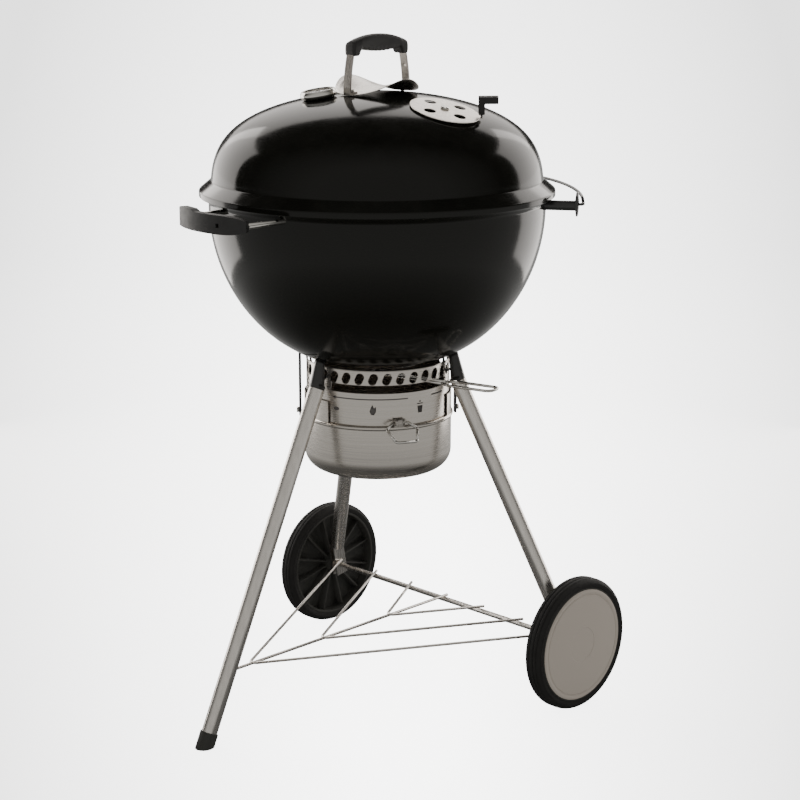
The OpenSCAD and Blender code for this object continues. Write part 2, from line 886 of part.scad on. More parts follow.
module ash_bucket() {
    rc = bucket_round;
    steps = 8;
    window = slot_to - slot_from + 4;
    function corner(r, a) = [bucket_r - rc + r * sin(a), bucket_low + rc - r * cos(a)];
    color("#a8a29b")
        about_bowl()
            difference() {
                rotate_extrude()
                    polygon(concat(
                        [[0, bucket_low]],
                        [for (i = [0:steps]) corner(rc, 90 * i / steps)],
                        [[bucket_r, bucket_back], [bucket_r - bucket_wall, bucket_back]],
                        [for (i = [steps:-1:0]) corner(rc - bucket_wall, 90 * i / steps)],
                        [[0, bucket_low + bucket_wall]]));
                rotate([0, 0, slot_from - 2])
                    rotate_extrude(angle = window)
                        translate([bucket_r - 10, bucket_lip])
                            square([20, bucket_back - bucket_lip + 5]);
            }
}

module bail_bracket() {
    color("#8d877f")
        about_bowl()
            rotate([0, 0, bail_turn])
                translate([bucket_r, 0, bail_h])
                    difference() {
                        union() {
                            translate([0, -9, -13])
                                cube([1.6, 18, 18]);
                            for (s = [-1, 1])
                                translate([1.2, s * 7.2 - 1, -4])
                                    cube([8, 2, 8]);
                        }
                        translate([5, -20, 0])
                            rotate([-90, 0, 0])
                                cylinder(d = 3 + 2 * run_gap, h = 40);
                    }
}

// A six-sided loop that hangs outward from a pin across the bracket
module bucket_bail() {
    d = 4.4;
    color("silver")
        about_bowl()
            rotate([0, 0, bail_turn])
                translate([bucket_r + 5, 0, bail_h]) {
                    rotate([0, 30, 0])
                        flat_wire([[0, 13], [16, 25], [45, 17], [45, -17], [16, -25], [0, -13]], 5, d);
                    for (s = [-1, 1])
                        rod([0, s * 5, 0], [0, s * 13.4, 0], 3);
                }
}

module bucket_straps() {
    color("#1d1c1a")
        about_bowl()
            for (turn = strap_turns)
                rotate([0, 0, turn])
                    difference() {
                        translate([strap_r, -strap_w / 2, strap_low])
                            cube([strap_t, strap_w, bowl_at(strap_r) - strap_low + 6]);
                        translate([strap_r - 1, 0, pin_h])
                            rotate([0, 90, 0])
                                cylinder(r = 2.6, h = strap_t + 2);
                        rotate([0, 0, -turn])
                            bowl_solid();
                    }
}

module strap_pins() {
    color("silver")
        about_bowl()
            for (turn = strap_turns)
                rotate([0, 0, turn])
                    translate([strap_r + 0.2, 0, pin_h])
                        rotate([0, 90, 0]) {
                            cylinder(r = 2.6, h = strap_t + 1);
                            translate([0, 0, strap_t - 0.2])
                                cylinder(r = 4.5, h = 4);
                        }
}

// ---------------------------------------------------------------- sweeper

module sweeper() {
    steps = 9;
    function rise(i) = let (r = blade_from + (blade_to - blade_from) * i / steps) [r, bowl_in(r) + sweep_gap];
    hub_h = bowl_in(sweep_shaft_r + 18) + sweep_gap;
    color("#4c4a47")
        about_bowl() {
            for (k = [0:2])
                rotate([0, 0, 60 + 120 * k - blade_angle / 2])
                    rotate_extrude(angle = blade_angle)
                        polygon(concat(
                            [for (i = [0:steps]) rise(i)],
                            [for (i = [steps:-1:0]) rise(i) + [0, blade_t]]));
            translate([0, 0, hub_h])
                cylinder(r = blade_from + 1.5, h = 4);
            translate([0, 0, lever_h - 6])
                cylinder(r = sweep_shaft_r, h = hub_h - lever_h + 8);
        }
}

module sweeper_lever() {
    half = 15.5;
    root = 7;
    neck = ring_r + 22;
    color("silver")
        about_bowl()
            rotate([0, 0, lever_turn])
                translate([0, 0, lever_h]) {
                    difference() {
                        translate([0, 0, -4])
                            cylinder(r = 13, h = 8);
                        translate([0, 0, -5])
                            cylinder(r = sweep_shaft_r, h = 10);
                    }
                    flat_wire([[11, root], [neck - 12, root], [neck + 4, half], [lever_reach - 2.5, half],
                               [lever_reach - 2.5, -half], [neck + 4, -half], [neck - 12, -root], [11, -root]],
                              11, wire_d);
                }
}

// ---------------------------------------------------------------- grates

// Half of the chord of a circle of radius r at distance y
function chord(r, y) = sqrt(max(0, r * r - y * y));

module torus(r, d, z) {
    translate([0, 0, z])
        rotate_extrude()
            translate([r, 0])
                circle(d = d);
}

module cooking_grate() {
    frame_r = cook_r - ring_bar_d / 2;
    hole_r = insert_r + 5;
    top = cook_h + bar_lift;
    count = floor((frame_r - 12) / bar_pitch);
    color("#b5b1aa")
        about_bowl() {
            intersection() {
                torus(frame_r, ring_bar_d, cook_h);
                translate([-hinge_x - 0.5, -frame_r * 1.1, cook_h - 20])
                    cube([2 * hinge_x + 1, frame_r * 2.2, 40]);
            }
            torus(hole_r, bar_d, cook_h);
            for (k = [-count:count]) {
                y = k * bar_pitch;
                inner = chord(hole_r, y);
                outer = min(hinge_x - bar_tuck, chord(frame_r - bar_tuck, y));
                if (inner == 0)
                    rod([-outer, y, top], [outer, y, top], bar_d);
                else if (inner < outer - 6)
                    for (s = [-1, 1])
                        rod([s * (inner - 1), y, top], [s * outer, y, top], bar_d);
            }
            for (s = [-1, 1])
                rod([s * hinge_x, -chord(frame_r - bar_tuck, hinge_x), cook_h],
                    [s * hinge_x, chord(frame_r - bar_tuck, hinge_x), cook_h], ring_bar_d);
            for (turn = [30:120:270])
                rotate([0, 0, turn])
                    translate([hole_r - 9, -5, cook_h - insert_seat - 2.5]) {
                        cube([10.5, 10, 2.5]);
                        translate([8, 0.5, 0.5])
                            cube([2, 9, insert_seat + 1.2]);
                    }
        }
}

// One side flap: a segment of ring with bars halfway between the main grate's bars,
// and two clips that turn on the hinge rod
module flap() {
    frame_r = cook_r - ring_bar_d / 2;
    top = cook_h + bar_lift;
    rim_from = hinge_x + ring_bar_d;
    rail_x = hinge_x + 2 * ring_bar_d - 1;
    count = floor((chord(frame_r, rail_x) - 14) / bar_pitch - 0.5);
    clip_w = 5;
    intersection() {
        torus(frame_r, ring_bar_d, cook_h);
        translate([rim_from, -frame_r, cook_h - 20])
            cube([frame_r, 2 * frame_r, 40]);
    }
    for (k = [-count - 1:count]) {
        y = (k + 0.5) * bar_pitch;
        rod([rail_x - 1, y, top], [chord(frame_r - bar_tuck, y), y, top], bar_d);
    }
    rod([rail_x, -chord(frame_r, rail_x), cook_h], [rail_x, chord(frame_r, rail_x), cook_h], bar_d);
    for (s = [-1, 1])
        translate([0, s * 4.5 * bar_pitch, 0])
            difference() {
                union() {
                    translate([hinge_x, clip_w / 2, cook_h])
                        rotate([90, 0, 0])
                            cylinder(r = ring_bar_d / 2 + 2, h = clip_w);
                    translate([hinge_x, -clip_w / 2, cook_h - 1.5])
                        cube([rail_x - hinge_x, clip_w, 3]);
                }
                translate([hinge_x, clip_w, cook_h])
                    rotate([90, 0, 0])
                        cylinder(r = ring_bar_d / 2 + run_gap, h = 2 * clip_w);
            }
}

module right_flap() {
    color("#b5b1aa")
        about_bowl()
            flap();
}

module left_flap() {
    color("#b5b1aa")
        about_bowl()
            mirror([1, 0, 0])
                flap();
}

module grate_centre() {
    r = insert_r - 2;
    count = floor((r - 8) / bar_pitch);
    color("#b5b1aa")
        about_bowl() {
            torus(r, bar_d, cook_h + insert_lift);
            for (k = [-count:count])
                rod([-chord(r - bar_tuck, k * bar_pitch), k * bar_pitch, cook_h + bar_lift],
                    [chord(r - bar_tuck, k * bar_pitch), k * bar_pitch, cook_h + bar_lift], bar_d);
            for (s = [-1, 1])
                rod([s * r * 0.5, -chord(r, r * 0.5), cook_h + insert_lift],
                    [s * r * 0.5, chord(r, r * 0.5), cook_h + insert_lift], bar_d - 0.5);
        }
}

// Radius inside the bowl at a height, less a margin
function room(z, margin) =
    (bowl_r - sheet) * pow(1 - pow((bowl_h - z) / (bowl_depth - sheet), 2 / BOWL_Q), BOWL_P / 2) - margin;

module charcoal_grate() {
    r = room(coal_h - ring_bar_d / 2, 5) - ring_bar_d / 2;
    count = floor((r - 10) / bar_pitch);
    color("#57534e")
        about_bowl() {
            torus(r, ring_bar_d, coal_h);
            for (k = [-count:count])
                rod([-chord(r - bar_tuck, k * bar_pitch), k * bar_pitch, coal_h + bar_lift],
                    [chord(r - bar_tuck, k * bar_pitch), k * bar_pitch, coal_h + bar_lift], bar_d);
            for (s = [-1, 1])
                rod([s * r * 0.35, -chord(r, r * 0.35), coal_h + 0.5],
                    [s * r * 0.35, chord(r, r * 0.35), coal_h + 0.5], bar_d - 0.5);
        }
}

// Small ledges on the bowl's inner wall, under the rims of the two grates
module grate_lugs() {
    color("#1d1c1a")
        about_bowl()
            for (level = [cook_h, coal_h])
                for (turn = [60, 120, 240, 300])
                    rotate([0, 0, turn]) {
                        top = level - ring_bar_d / 2 - move_gap;
                        intersection() {
                            translate([room(top, 16), -9, top - 3])
                                cube([60, 18, 3]);
                            rotate_extrude()
                                polygon([[0, top - 4], [room(top - 3, seat_gap), top - 4],
                                         [room(top - 3, seat_gap), top + 1], [0, top + 1]]);
                        }
                    }
}

// ---------------------------------------------------------------- legs

// Socket on a leg: a black taper from the bowl down to the tube's full width. It stands
// steeper than the leg, and has a short collar and a plug along the leg.
module socket(low_end) {
    axis = unit(leg_top - low_end);
    head = [leg_top_r - socket_lean, 0, socket_top_h];
    lean = head - leg_top;
    plug = 30;
    along_leg = [0, acos(axis.z), atan2(axis.y, axis.x)];
    difference() {
        translate(leg_top) {
            rotate(along_leg) {
                translate([0, 0, 0.05])
                    cylinder(r = leg_r, h = 7);
                translate([0, 0, -plug])
                    cylinder(r = bore_r - seat_gap, h = plug + 1);
            }
            difference() {
                translate([0, 0, 1])
                    rotate([0, -atan(-lean.x / lean.z), 0])
                        cylinder(r1 = leg_r - 0.4, r2 = socket_top_r, h = norm(lean));
                rotate(along_leg)
                    translate([0, 0, -plug])
                        cylinder(r = leg_d, h = plug + 0.5);
            }
        }
        bowl_solid();
    }
}

module leg_sockets() {
    color("#1d1c1a")
        about_bowl() {
            rotate([0, 0, 180])
                socket(foot);
            for (s = [-1, 1])
                rotate([0, 0, s * leg_spread])
                    socket(shoe_end);
        }
}

// A tube along a leg from the socket to the low end, which may be drilled by the children
module leg_tube(low_end) {
    difference() {
        rod(low_end, leg_top, leg_d);
        rod(low_end - 2 * unit(leg_top - low_end), leg_top + 2 * unit(leg_top - low_end), 2 * bore_r);
        children();
    }
}

module single_leg() {
    low = foot + unit(leg_top - foot) * 12;
    color("#a9a49d")
        about_bowl()
            rotate([0, 0, 180])
                leg_tube(low)
                    translate([foot_reach - 90, 0, rack_leg_h])
                        rotate([0, 90, 0])
                            cylinder(d = rack_d + 2 * seat_gap, h = 40);
}

module near_leg() {
    color("#a9a49d")
        about_bowl()
            rotate([0, 0, -leg_spread])
                leg_tube(shoe_end);
}

module far_leg() {
    color("#a9a49d")
        about_bowl()
            rotate([0, 0, leg_spread])
                leg_tube(shoe_end);
}

// Cup over the single leg's end, cut level with the ground
module foot_cap() {
    up = unit(leg_top - foot);
    color("#191817")
        about_bowl()
            rotate([0, 0, 180])
                difference() {
                    rod(foot - 12 * up, foot + foot_cap_h * up, 2 * foot_r);
                    rod(foot + 12 * up, foot + (foot_cap_h + 5) * up, leg_d + 2 * seat_gap);
                    translate([foot_reach - 60, -60, -60])
                        cube([120, 120, 60]);
                }
}

// ---------------------------------------------------------------- axle and wheels

// A channel that hangs from a wheel leg's end, with the axle through its two flanges
module shoe() {
    top = [wheel_leg_x, shoe_y, shoe_top_h];
    lean = atan((wheel_leg_x - axle_reach) / (shoe_top_h - axle_h));
    rise = (shoe_top_h - axle_h) / cos(lean);
    drop = 18;
    difference() {
        translate([axle_reach, shoe_y, axle_h])
            rotate([0, lean, 0])
                difference() {
                    translate([-shoe_w / 2, -shoe_t / 2, -drop])
                        cube([shoe_w, shoe_t, rise + drop + 20]);
                    translate([-shoe_w / 2 - 1, -shoe_t / 2 + shoe_wall, -drop - 1])
                        cube([shoe_w - shoe_wall + 1, shoe_t - 2 * shoe_wall, rise + drop - 3]);
                }
        translate([axle_reach - 80, shoe_y - 80, shoe_top_h - seat_gap])
            cube([160, 160, 60]);
        translate([axle_reach, 0, axle_h])
            rotate([-90, 0, 0])
                cylinder(r = axle_r + seat_gap, h = 400);
        rotate([0, 0, leg_spread])
            rod(shoe_end - seat_gap * unit(leg_top - shoe_end), leg_top, leg_d + 2 * seat_gap);
        rack_arm(arm_starts[0], rack_d - 0.4 + 2 * seat_gap);
    }
}

module near_shoe() {
    color("#a9a49d")
        about_bowl()
            mirror([0, 1, 0])
                shoe();
}

module far_shoe() {
    color("#a9a49d")
        about_bowl()
            shoe();
}

module axle() {
    color("#a9a49d")
        about_bowl()
            rod([axle_reach, -nut_y - 4, axle_h], [axle_reach, nut_y + 4, axle_h], axle_d);
}

module axle_nuts() {
    color("silver")
        about_bowl()
            for (s = [-1, 1])
                translate([axle_reach, s * (nut_y + 1.7), axle_h])
                    rotate([90, 0, 0])
                        difference() {
                            cylinder(r = 8, h = 2.6, center = true);
                            cylinder(r = axle_r + seat_gap / 2, h = 6, center = true);
                        }
}

// The wheel's own axis is +Z here: z = 0 is the inner face, z = wheel_w the outer one
module tyre_shape() {
    inner = wheel_r - 15;
    round = wheel_w * 0.4;
    steps = 8;
    function arc(cz, a0) = [for (i = [0:steps]) let (a = a0 + 90 * i / steps)
        [wheel_r - round + round * cos(a), cz + round * sin(a)]];
    rotate_extrude($fn = 96)
        polygon(concat([[inner, 2]], arc(round + 1, -90), arc(wheel_w - round - 1, 0), [[inner, wheel_w - 2]]));
}

module wheel_shape() {
    rim = wheel_r - 15 - seat_gap;
    web = 12;
    ribs = 12;
    difference() {
        union() {
            difference() {
                translate([0, 0, 2])
                    cylinder(r = rim, h = wheel_w - 4);
                translate([0, 0, -1])
                    cylinder(r = rim - 4, h = wheel_w - web + 1);
                translate([0, 0, wheel_w - wheel_recess])
                    cylinder(r = rim - 4, h = 20);
            }
            cylinder(r = hub_r, h = wheel_w - 10);
            for (k = [0:ribs - 1])
                rotate([0, 0, 360 / ribs * (k + 0.5)])
                    translate([hub_r - 2, -1.5, 9])
                        cube([rim - 3 - hub_r, 3, wheel_w - web - 8]);
        }
        translate([0, 0, -1])
            cylinder(r = axle_r + run_gap, h = wheel_w + 2);
    }
}

module hub_cap_shape() {
    r = wheel_r - 17.6;
    rotate_extrude($fn = 96)
        polygon([[0, wheel_w - 2.4], [r - 8, wheel_w - 2.4], [r - 8, wheel_w - 5], [r - 5.5, wheel_w - 5],
                 [r - 5.5, wheel_w - 1.9], [r, wheel_w - 1.9], [r - 3, wheel_w], [r - 7, wheel_w - 1], [0, wheel_w - 1]]);
}

// Puts a wheel on the far end of the axle (s = 1) or the near end (s = -1)
module on_axle(s) {
    about_bowl()
        translate([axle_reach, s * track_half, axle_h])
            rotate([-90 * s, 0, 0])
                children();
}

module near_tyre() {
    color("#1b1a19")
        on_axle(-1)
            tyre_shape();
}

module near_wheel() {
    color("#1b1a19")
        on_axle(-1)
            wheel_shape();
}

module near_hub_cap() {
    color("#8f877d")
        on_axle(-1)
            hub_cap_shape();
}

module far_tyre() {
    color("#1b1a19")
        on_axle(1)
            tyre_shape();
}

module far_wheel() {
    color("#1b1a19")
        on_axle(1)
            wheel_shape();
}

module far_hub_cap() {
    color("#8f877d")
        on_axle(1)
            hub_cap_shape();
}

// ---------------------------------------------------------------- rack

function spine_at(x) = rack_leg_h + rack_slope * (x - rack_leg_x);

// One wire bent at the spine, with an arm to each side
module rack_arm(start, d) {
    reach = rack_tip_x - start;
    translate([start, 0, spine_at(start) + arm_lift])
        rotate([0, -atan(rack_slope), 0])
            flat_wire([[reach, reach * tan(arm_angle)], [0, 0], [reach, -reach * tan(arm_angle)]], 8, d);
}

module wire_rack() {
    color("#b3ada6")
        about_bowl() {
            rod([rack_leg_x, 0, rack_leg_h], [rack_tip_x, 0, spine_at(rack_tip_x)], rack_d);
            for (start = arm_starts)
                rack_arm(start, rack_d - 0.4);
        }
}

// ---------------------------------------------------------------- nodes

bowl();
lid();
lid_handle_straps();
lid_handle_grip();
heat_shield();
handle_bolts();
damper();
damper_grip();
damper_rivet();
thermometer_bezel();
thermometer_dial();
thermometer_needle();
thermometer_glass();
thermometer_probe();
left_handle_grip();
right_handle_grip();
handle_standoffs();
lid_holder_wire();
lid_holder_posts();
lid_holder_plates();
ash_ring();
ring_brackets();
ash_bucket();
bucket_bail();
bail_bracket();
bucket_straps();
strap_pins();
sweeper();
sweeper_lever();
cooking_grate();
left_flap();
right_flap();
grate_centre();
charcoal_grate();
grate_lugs();
leg_sockets();
single_leg();
near_leg();
far_leg();
foot_cap();
near_shoe();
far_shoe();
axle();
axle_nuts();
wire_rack();
near_tyre();
near_wheel();
near_hub_cap();
far_tyre();
far_wheel();
far_hub_cap();
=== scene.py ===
"""Kettle charcoal grill: the looks of every piece, and a plain studio round it."""
import json
import math

import bmesh
import bpy
from mathutils import Matrix, Vector


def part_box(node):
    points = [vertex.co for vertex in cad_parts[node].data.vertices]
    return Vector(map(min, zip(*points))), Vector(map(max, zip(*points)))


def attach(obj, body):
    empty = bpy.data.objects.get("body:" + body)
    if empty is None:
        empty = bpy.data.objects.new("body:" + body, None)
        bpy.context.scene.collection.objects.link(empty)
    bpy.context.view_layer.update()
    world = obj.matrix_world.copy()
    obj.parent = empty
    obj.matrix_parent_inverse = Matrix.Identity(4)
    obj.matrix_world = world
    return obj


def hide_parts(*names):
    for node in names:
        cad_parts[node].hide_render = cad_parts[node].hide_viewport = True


bl_info = {
    "name": "Kettle Charcoal Grill",
    "version": (1, 0, 0),
    "blender": (4, 5, 0),
    "location": "View3D > Sidebar > Grill",
    "description": "Builds the enamelled kettle, its fittings, legs and wheels, and a studio",
    "category": "Object",
}

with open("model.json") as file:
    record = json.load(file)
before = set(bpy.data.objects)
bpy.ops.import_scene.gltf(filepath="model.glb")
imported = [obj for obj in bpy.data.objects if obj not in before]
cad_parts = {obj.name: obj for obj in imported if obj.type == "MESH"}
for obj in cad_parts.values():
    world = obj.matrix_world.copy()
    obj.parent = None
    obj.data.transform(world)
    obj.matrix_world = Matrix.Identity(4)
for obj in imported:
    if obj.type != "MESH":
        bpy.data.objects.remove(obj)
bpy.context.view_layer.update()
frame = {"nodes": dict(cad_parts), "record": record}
BOWL_LOW, BOWL_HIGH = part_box("bowl")
BOWL_X = (BOWL_LOW[0] + BOWL_HIGH[0]) / 2


# ---------------------------------------------------------------- settings

class KettleSizes(bpy.types.PropertyGroup):
    """Sizes of the enamelled shells and what sits on them."""
    wall: bpy.props.FloatProperty(
        name="Sheet", description="Thickness of the enamelled steel", default=0.0012, unit="LENGTH")
    bead: bpy.props.FloatProperty(
        name="Rim bead", description="Radius of the bowl's rolled rim", default=0.0026, unit="LENGTH")
    turns: bpy.props.IntProperty(
        name="Turns", description="Steps round each spun shell", default=160, min=48, max=256)
    damper_hole: bpy.props.FloatProperty(
        name="Damper hole", description="Radius of one damper hole", default=0.0095, unit="LENGTH")


class WheelSizes(bpy.types.PropertyGroup):
    """Sizes of the wheels' visible detail."""
    tread_depth: bpy.props.FloatProperty(
        name="Tread depth", description="Depth of the grooves round the tyre", default=0.0016, unit="LENGTH")
    tread_grooves: bpy.props.IntProperty(
        name="Tread grooves", description="Grooves across the tyre's width", default=3, min=0, max=8)


class Finishes(bpy.types.PropertyGroup):
    """Colours of the finishes."""
    enamel: bpy.props.FloatVectorProperty(
        name="Enamel", description="Porcelain enamel", subtype="COLOR", default=(0.0030, 0.0030, 0.0020))
    nylon: bpy.props.FloatVectorProperty(
        name="Nylon", description="Moulded grips", subtype="COLOR", default=(0.016, 0.0155, 0.015))
    aluminium: bpy.props.FloatVectorProperty(
        name="Aluminium", description="Legs, damper and shield", subtype="COLOR", default=(0.78, 0.745, 0.70))
    stainless: bpy.props.FloatVectorProperty(
        name="Stainless", description="Ash ring and bucket", subtype="COLOR", default=(0.60, 0.565, 0.52))
    chrome: bpy.props.FloatVectorProperty(
        name="Chrome", description="Bright wire and bolts", subtype="COLOR", default=(0.78, 0.76, 0.72))
    black_steel: bpy.props.FloatVectorProperty(
        name="Black steel", description="Painted sockets, straps and holder", subtype="COLOR",
        default=(0.014, 0.0135, 0.013))
    hub_cap: bpy.props.FloatVectorProperty(
        name="Hub cap", description="Warm grey moulded cap", subtype="COLOR", default=(0.212, 0.200, 0.158))
    rubber: bpy.props.FloatVectorProperty(
        name="Tyre", description="Tyre tread and wall", subtype="COLOR", default=(0.010, 0.0095, 0.0085))


class StudioSettings(bpy.types.PropertyGroup):
    """The plain studio round the grill."""
    lens: bpy.props.FloatProperty(
        name="Lens", description="Focal length on a 36 mm sensor", default=88.86, unit="CAMERA")
    left: bpy.props.FloatProperty(
        name="Left light", description="Power of the left softbox", default=34.0, unit="POWER")
    right: bpy.props.FloatProperty(
        name="Right light", description="Power of the right softbox", default=28.0, unit="POWER")
    back: bpy.props.FloatProperty(
        name="Back light", description="Power of the high back panel", default=62.0, unit="POWER")
    air: bpy.props.FloatProperty(
        name="Air", description="Strength of the even light from all round", default=0.85)
    # Peak strength of the painted light glow on the floor as the camera sees it.
    sweep: bpy.props.FloatProperty(
        name="Backdrop", description="Brightness of the floor behind the grill", default=6.0)
    # Brightness of the painted floor reflection far from the grill; close to the grill it is darkened, a
    # painted shade.
    mirror: bpy.props.FloatProperty(
        name="Floor in reflections", description="How bright the floor is in polished surfaces", default=0.55)
    floor: bpy.props.FloatVectorProperty(
        name="Floor", description="Colour of the floor", subtype="COLOR", default=(0.55, 0.55, 0.55))


# ---------------------------------------------------------------- shader helpers

class Nodes:
    """Adds shader nodes to one tree and links them."""

    def __init__(self, tree):
        self.tree = tree

    def add(self, kind, links=(), **values):
        node = self.tree.nodes.new(kind)
        for key, value in values.items():
            if hasattr(node, key):
                setattr(node, key, value)
            else:
                node.inputs[key.replace("_", " ")].default_value = value
        for socket, source in dict(links).items():
            self.tree.links.new(source, node.inputs[socket])
        return node

    def remap(self, source, low, high, low_from=0.0, high_from=1.0):
        node = self.add("ShaderNodeMapRange", {"Value": source})
        for name, value in (("From Min", low_from), ("From Max", high_from), ("To Min", low), ("To Max", high)):
            node.inputs[name].default_value = value
        return node.outputs["Result"]

    def mix(self, factor, first, second):
        node = self.add("ShaderNodeMix", {0: factor}, data_type="RGBA")
        node.inputs[6].default_value = (*first, 1)
        node.inputs[7].default_value = (*second, 1)
        return node.outputs[2]


def new_effect(name, inputs, outputs):
    """A node group with its own inputs and outputs; returns its nodes, input node and output node."""
    tree = bpy.data.node_groups.new(name, "ShaderNodeTree")
    for label, value in inputs.items():
        kind = "NodeSocketVector" if isinstance(value, tuple) else "NodeSocketFloat"
        tree.interface.new_socket(label, in_out="INPUT", socket_type=kind).default_value = value
    for label in outputs:
        tree.interface.new_socket(label, in_out="OUTPUT", socket_type="NodeSocketFloat")
    return Nodes(tree), tree.nodes.new("NodeGroupInput"), tree.nodes.new("NodeGroupOutput")


def make_drawn_grain():
    """Fine lines left by brushing or drawing: noise stretched by a vector."""
    nodes, given, result = new_effect("Drawn Grain", {"Stretch": (8.0, 8.0, 900.0)}, ("Lines", "Bands"))
    place = nodes.add("ShaderNodeTexCoord").outputs["Object"]
    scaled = nodes.add("ShaderNodeVectorMath", {0: place, 1: given.outputs["Stretch"]}, operation="MULTIPLY")
    lines = nodes.add("ShaderNodeTexNoise", {"Vector": scaled.outputs[0]},
                      Scale=1.0, Detail=4.0, Roughness=0.65)
    wide = nodes.add("ShaderNodeVectorMath", {0: scaled.outputs[0]}, operation="SCALE")
    wide.inputs["Scale"].default_value = 0.13
    bands = nodes.add("ShaderNodeTexNoise", {"Vector": wide.outputs[0]}, Scale=1.0, Detail=2.0)
    nodes.tree.links.new(lines.outputs[0], result.inputs["Lines"])
    nodes.tree.links.new(bands.outputs[0], result.inputs["Bands"])
    return nodes.tree


def make_moulded_grain():
    """The fine pebbled skin of moulded plastic and rubber."""
    nodes, given, result = new_effect("Moulded Grain", {"Size": 1400.0}, ("Pebble", "Mottle"))
    place = nodes.add("ShaderNodeTexCoord").outputs["Object"]
    pebble = nodes.add("ShaderNodeTexVoronoi", {"Vector": place, "Scale": given.outputs["Size"]})
    mottle = nodes.add("ShaderNodeTexNoise", {"Vector": place}, Scale=55.0, Detail=4.0, Roughness=0.6)
    nodes.tree.links.new(pebble.outputs["Distance"], result.inputs["Pebble"])
    nodes.tree.links.new(mottle.outputs[0], result.inputs["Mottle"])
    return nodes.tree


def make_enamel_ripple():
    """The slow waviness of fired enamel, and its faint orange peel."""
    nodes, given, result = new_effect("Enamel Ripple", {"Peel": 260.0}, ("Height", "Haze"))
    place = nodes.add("ShaderNodeTexCoord").outputs["Object"]
    peel = nodes.add("ShaderNodeTexNoise", {"Vector": place, "Scale": given.outputs["Peel"]}, Detail=2.0)
    slow = nodes.add("ShaderNodeTexNoise", {"Vector": place}, Scale=9.0, Detail=1.0)
    total = nodes.add("ShaderNodeMath", {0: slow.outputs[0], 2: peel.outputs[0]}, operation="MULTIPLY_ADD")
    total.inputs[1].default_value = 5.0
    haze = nodes.add("ShaderNodeTexNoise", {"Vector": place}, Scale=14.0, Detail=6.0, Roughness=0.7)
    nodes.tree.links.new(total.outputs[0], result.inputs["Height"])
    nodes.tree.links.new(haze.outputs[0], result.inputs["Haze"])
    return nodes.tree


def make_settled_dust():
    """Where fine dust gathers: faces that look up, broken by noise."""
    nodes, given, result = new_effect("Settled Dust", {"Amount": 0.1}, ("Mask",))
    normal = nodes.add("ShaderNodeNewGeometry").outputs["Normal"]
    upward = nodes.add("ShaderNodeSeparateXYZ", {0: normal}).outputs["Z"]
    slope = nodes.remap(upward, 0.0, 1.0, 0.35, 1.0)
    place = nodes.add("ShaderNodeTexCoord").outputs["Object"]
    specks = nodes.add("ShaderNodeTexNoise", {"Vector": place}, Scale=30.0, Detail=8.0, Roughness=0.7)
    patch = nodes.remap(specks.outputs[0], 0.0, 1.0, 0.42, 0.75)
    both = nodes.add("ShaderNodeMath", {0: slope, 1: patch}, operation="MULTIPLY")
    mask = nodes.add("ShaderNodeMath", {0: both.outputs[0], 1: given.outputs["Amount"]}, operation="MULTIPLY")
    nodes.tree.links.new(mask.outputs[0], result.inputs["Mask"])
    return nodes.tree


def effect(name):
    makers = {"Drawn Grain": make_drawn_grain, "Moulded Grain": make_moulded_grain,
              "Enamel Ripple": make_enamel_ripple, "Settled Dust": make_settled_dust}
    return bpy.data.node_groups.get(name) or makers[name]()


class Finish:
    """A material under construction: its nodes and its principled shader."""

    def __init__(self, name, **constants):
        self.material = bpy.data.materials.new(name)
        self.material.use_nodes = True
        self.nodes = Nodes(self.material.node_tree)
        self.shader = self.material.node_tree.nodes["Principled BSDF"]
        for key, value in constants.items():
            self.shader.inputs[key.replace("_", " ")].default_value = value

    def effect(self, name, **values):
        node = self.nodes.add("ShaderNodeGroup")
        node.node_tree = effect(name)
        for key, value in values.items():
            node.inputs[key].default_value = value
        return node.outputs

    def feed(self, socket, source):
        self.material.node_tree.links.new(source, self.shader.inputs[socket])

    def bump(self, height, strength, distance):
        node = self.nodes.add("ShaderNodeBump", {"Height": height})
        node.inputs["Strength"].default_value = strength
        node.inputs["Distance"].default_value = distance
        self.feed("Normal", node.outputs["Normal"])


def tint(colour, factor):
    return tuple(min(1.0, channel * factor) for channel in colour)


def enamel_finish(name, colour):
    made = Finish(name, IOR=1.36)
    ripple = made.effect("Enamel Ripple")
    dust = made.effect("Settled Dust", Amount=0.05)
    made.feed("Base Color", made.nodes.mix(dust["Mask"], colour, (0.10, 0.095, 0.085)))
    made.feed("Roughness", made.nodes.remap(ripple["Haze"], 0.09, 0.17, 0.3, 0.7))
    made.bump(ripple["Height"], 0.06, 0.0004)
    return made.material


def metal_finish(name, colour, stretch, rough, depth, anisotropic=0.0):
    made = Finish(name, Metallic=1.0, Anisotropic=anisotropic)
    grain = made.effect("Drawn Grain", Stretch=stretch)
    bands = made.nodes.remap(grain["Bands"], 0.0, 1.0, 0.3, 0.7)
    made.feed("Base Color", made.nodes.mix(bands, tint(colour, 0.93), tint(colour, 1.06)))
    made.feed("Roughness", made.nodes.remap(grain["Lines"], rough * 0.75, rough * 1.3, 0.3, 0.7))
    made.bump(grain["Lines"], depth, 0.0002)
    return made.material


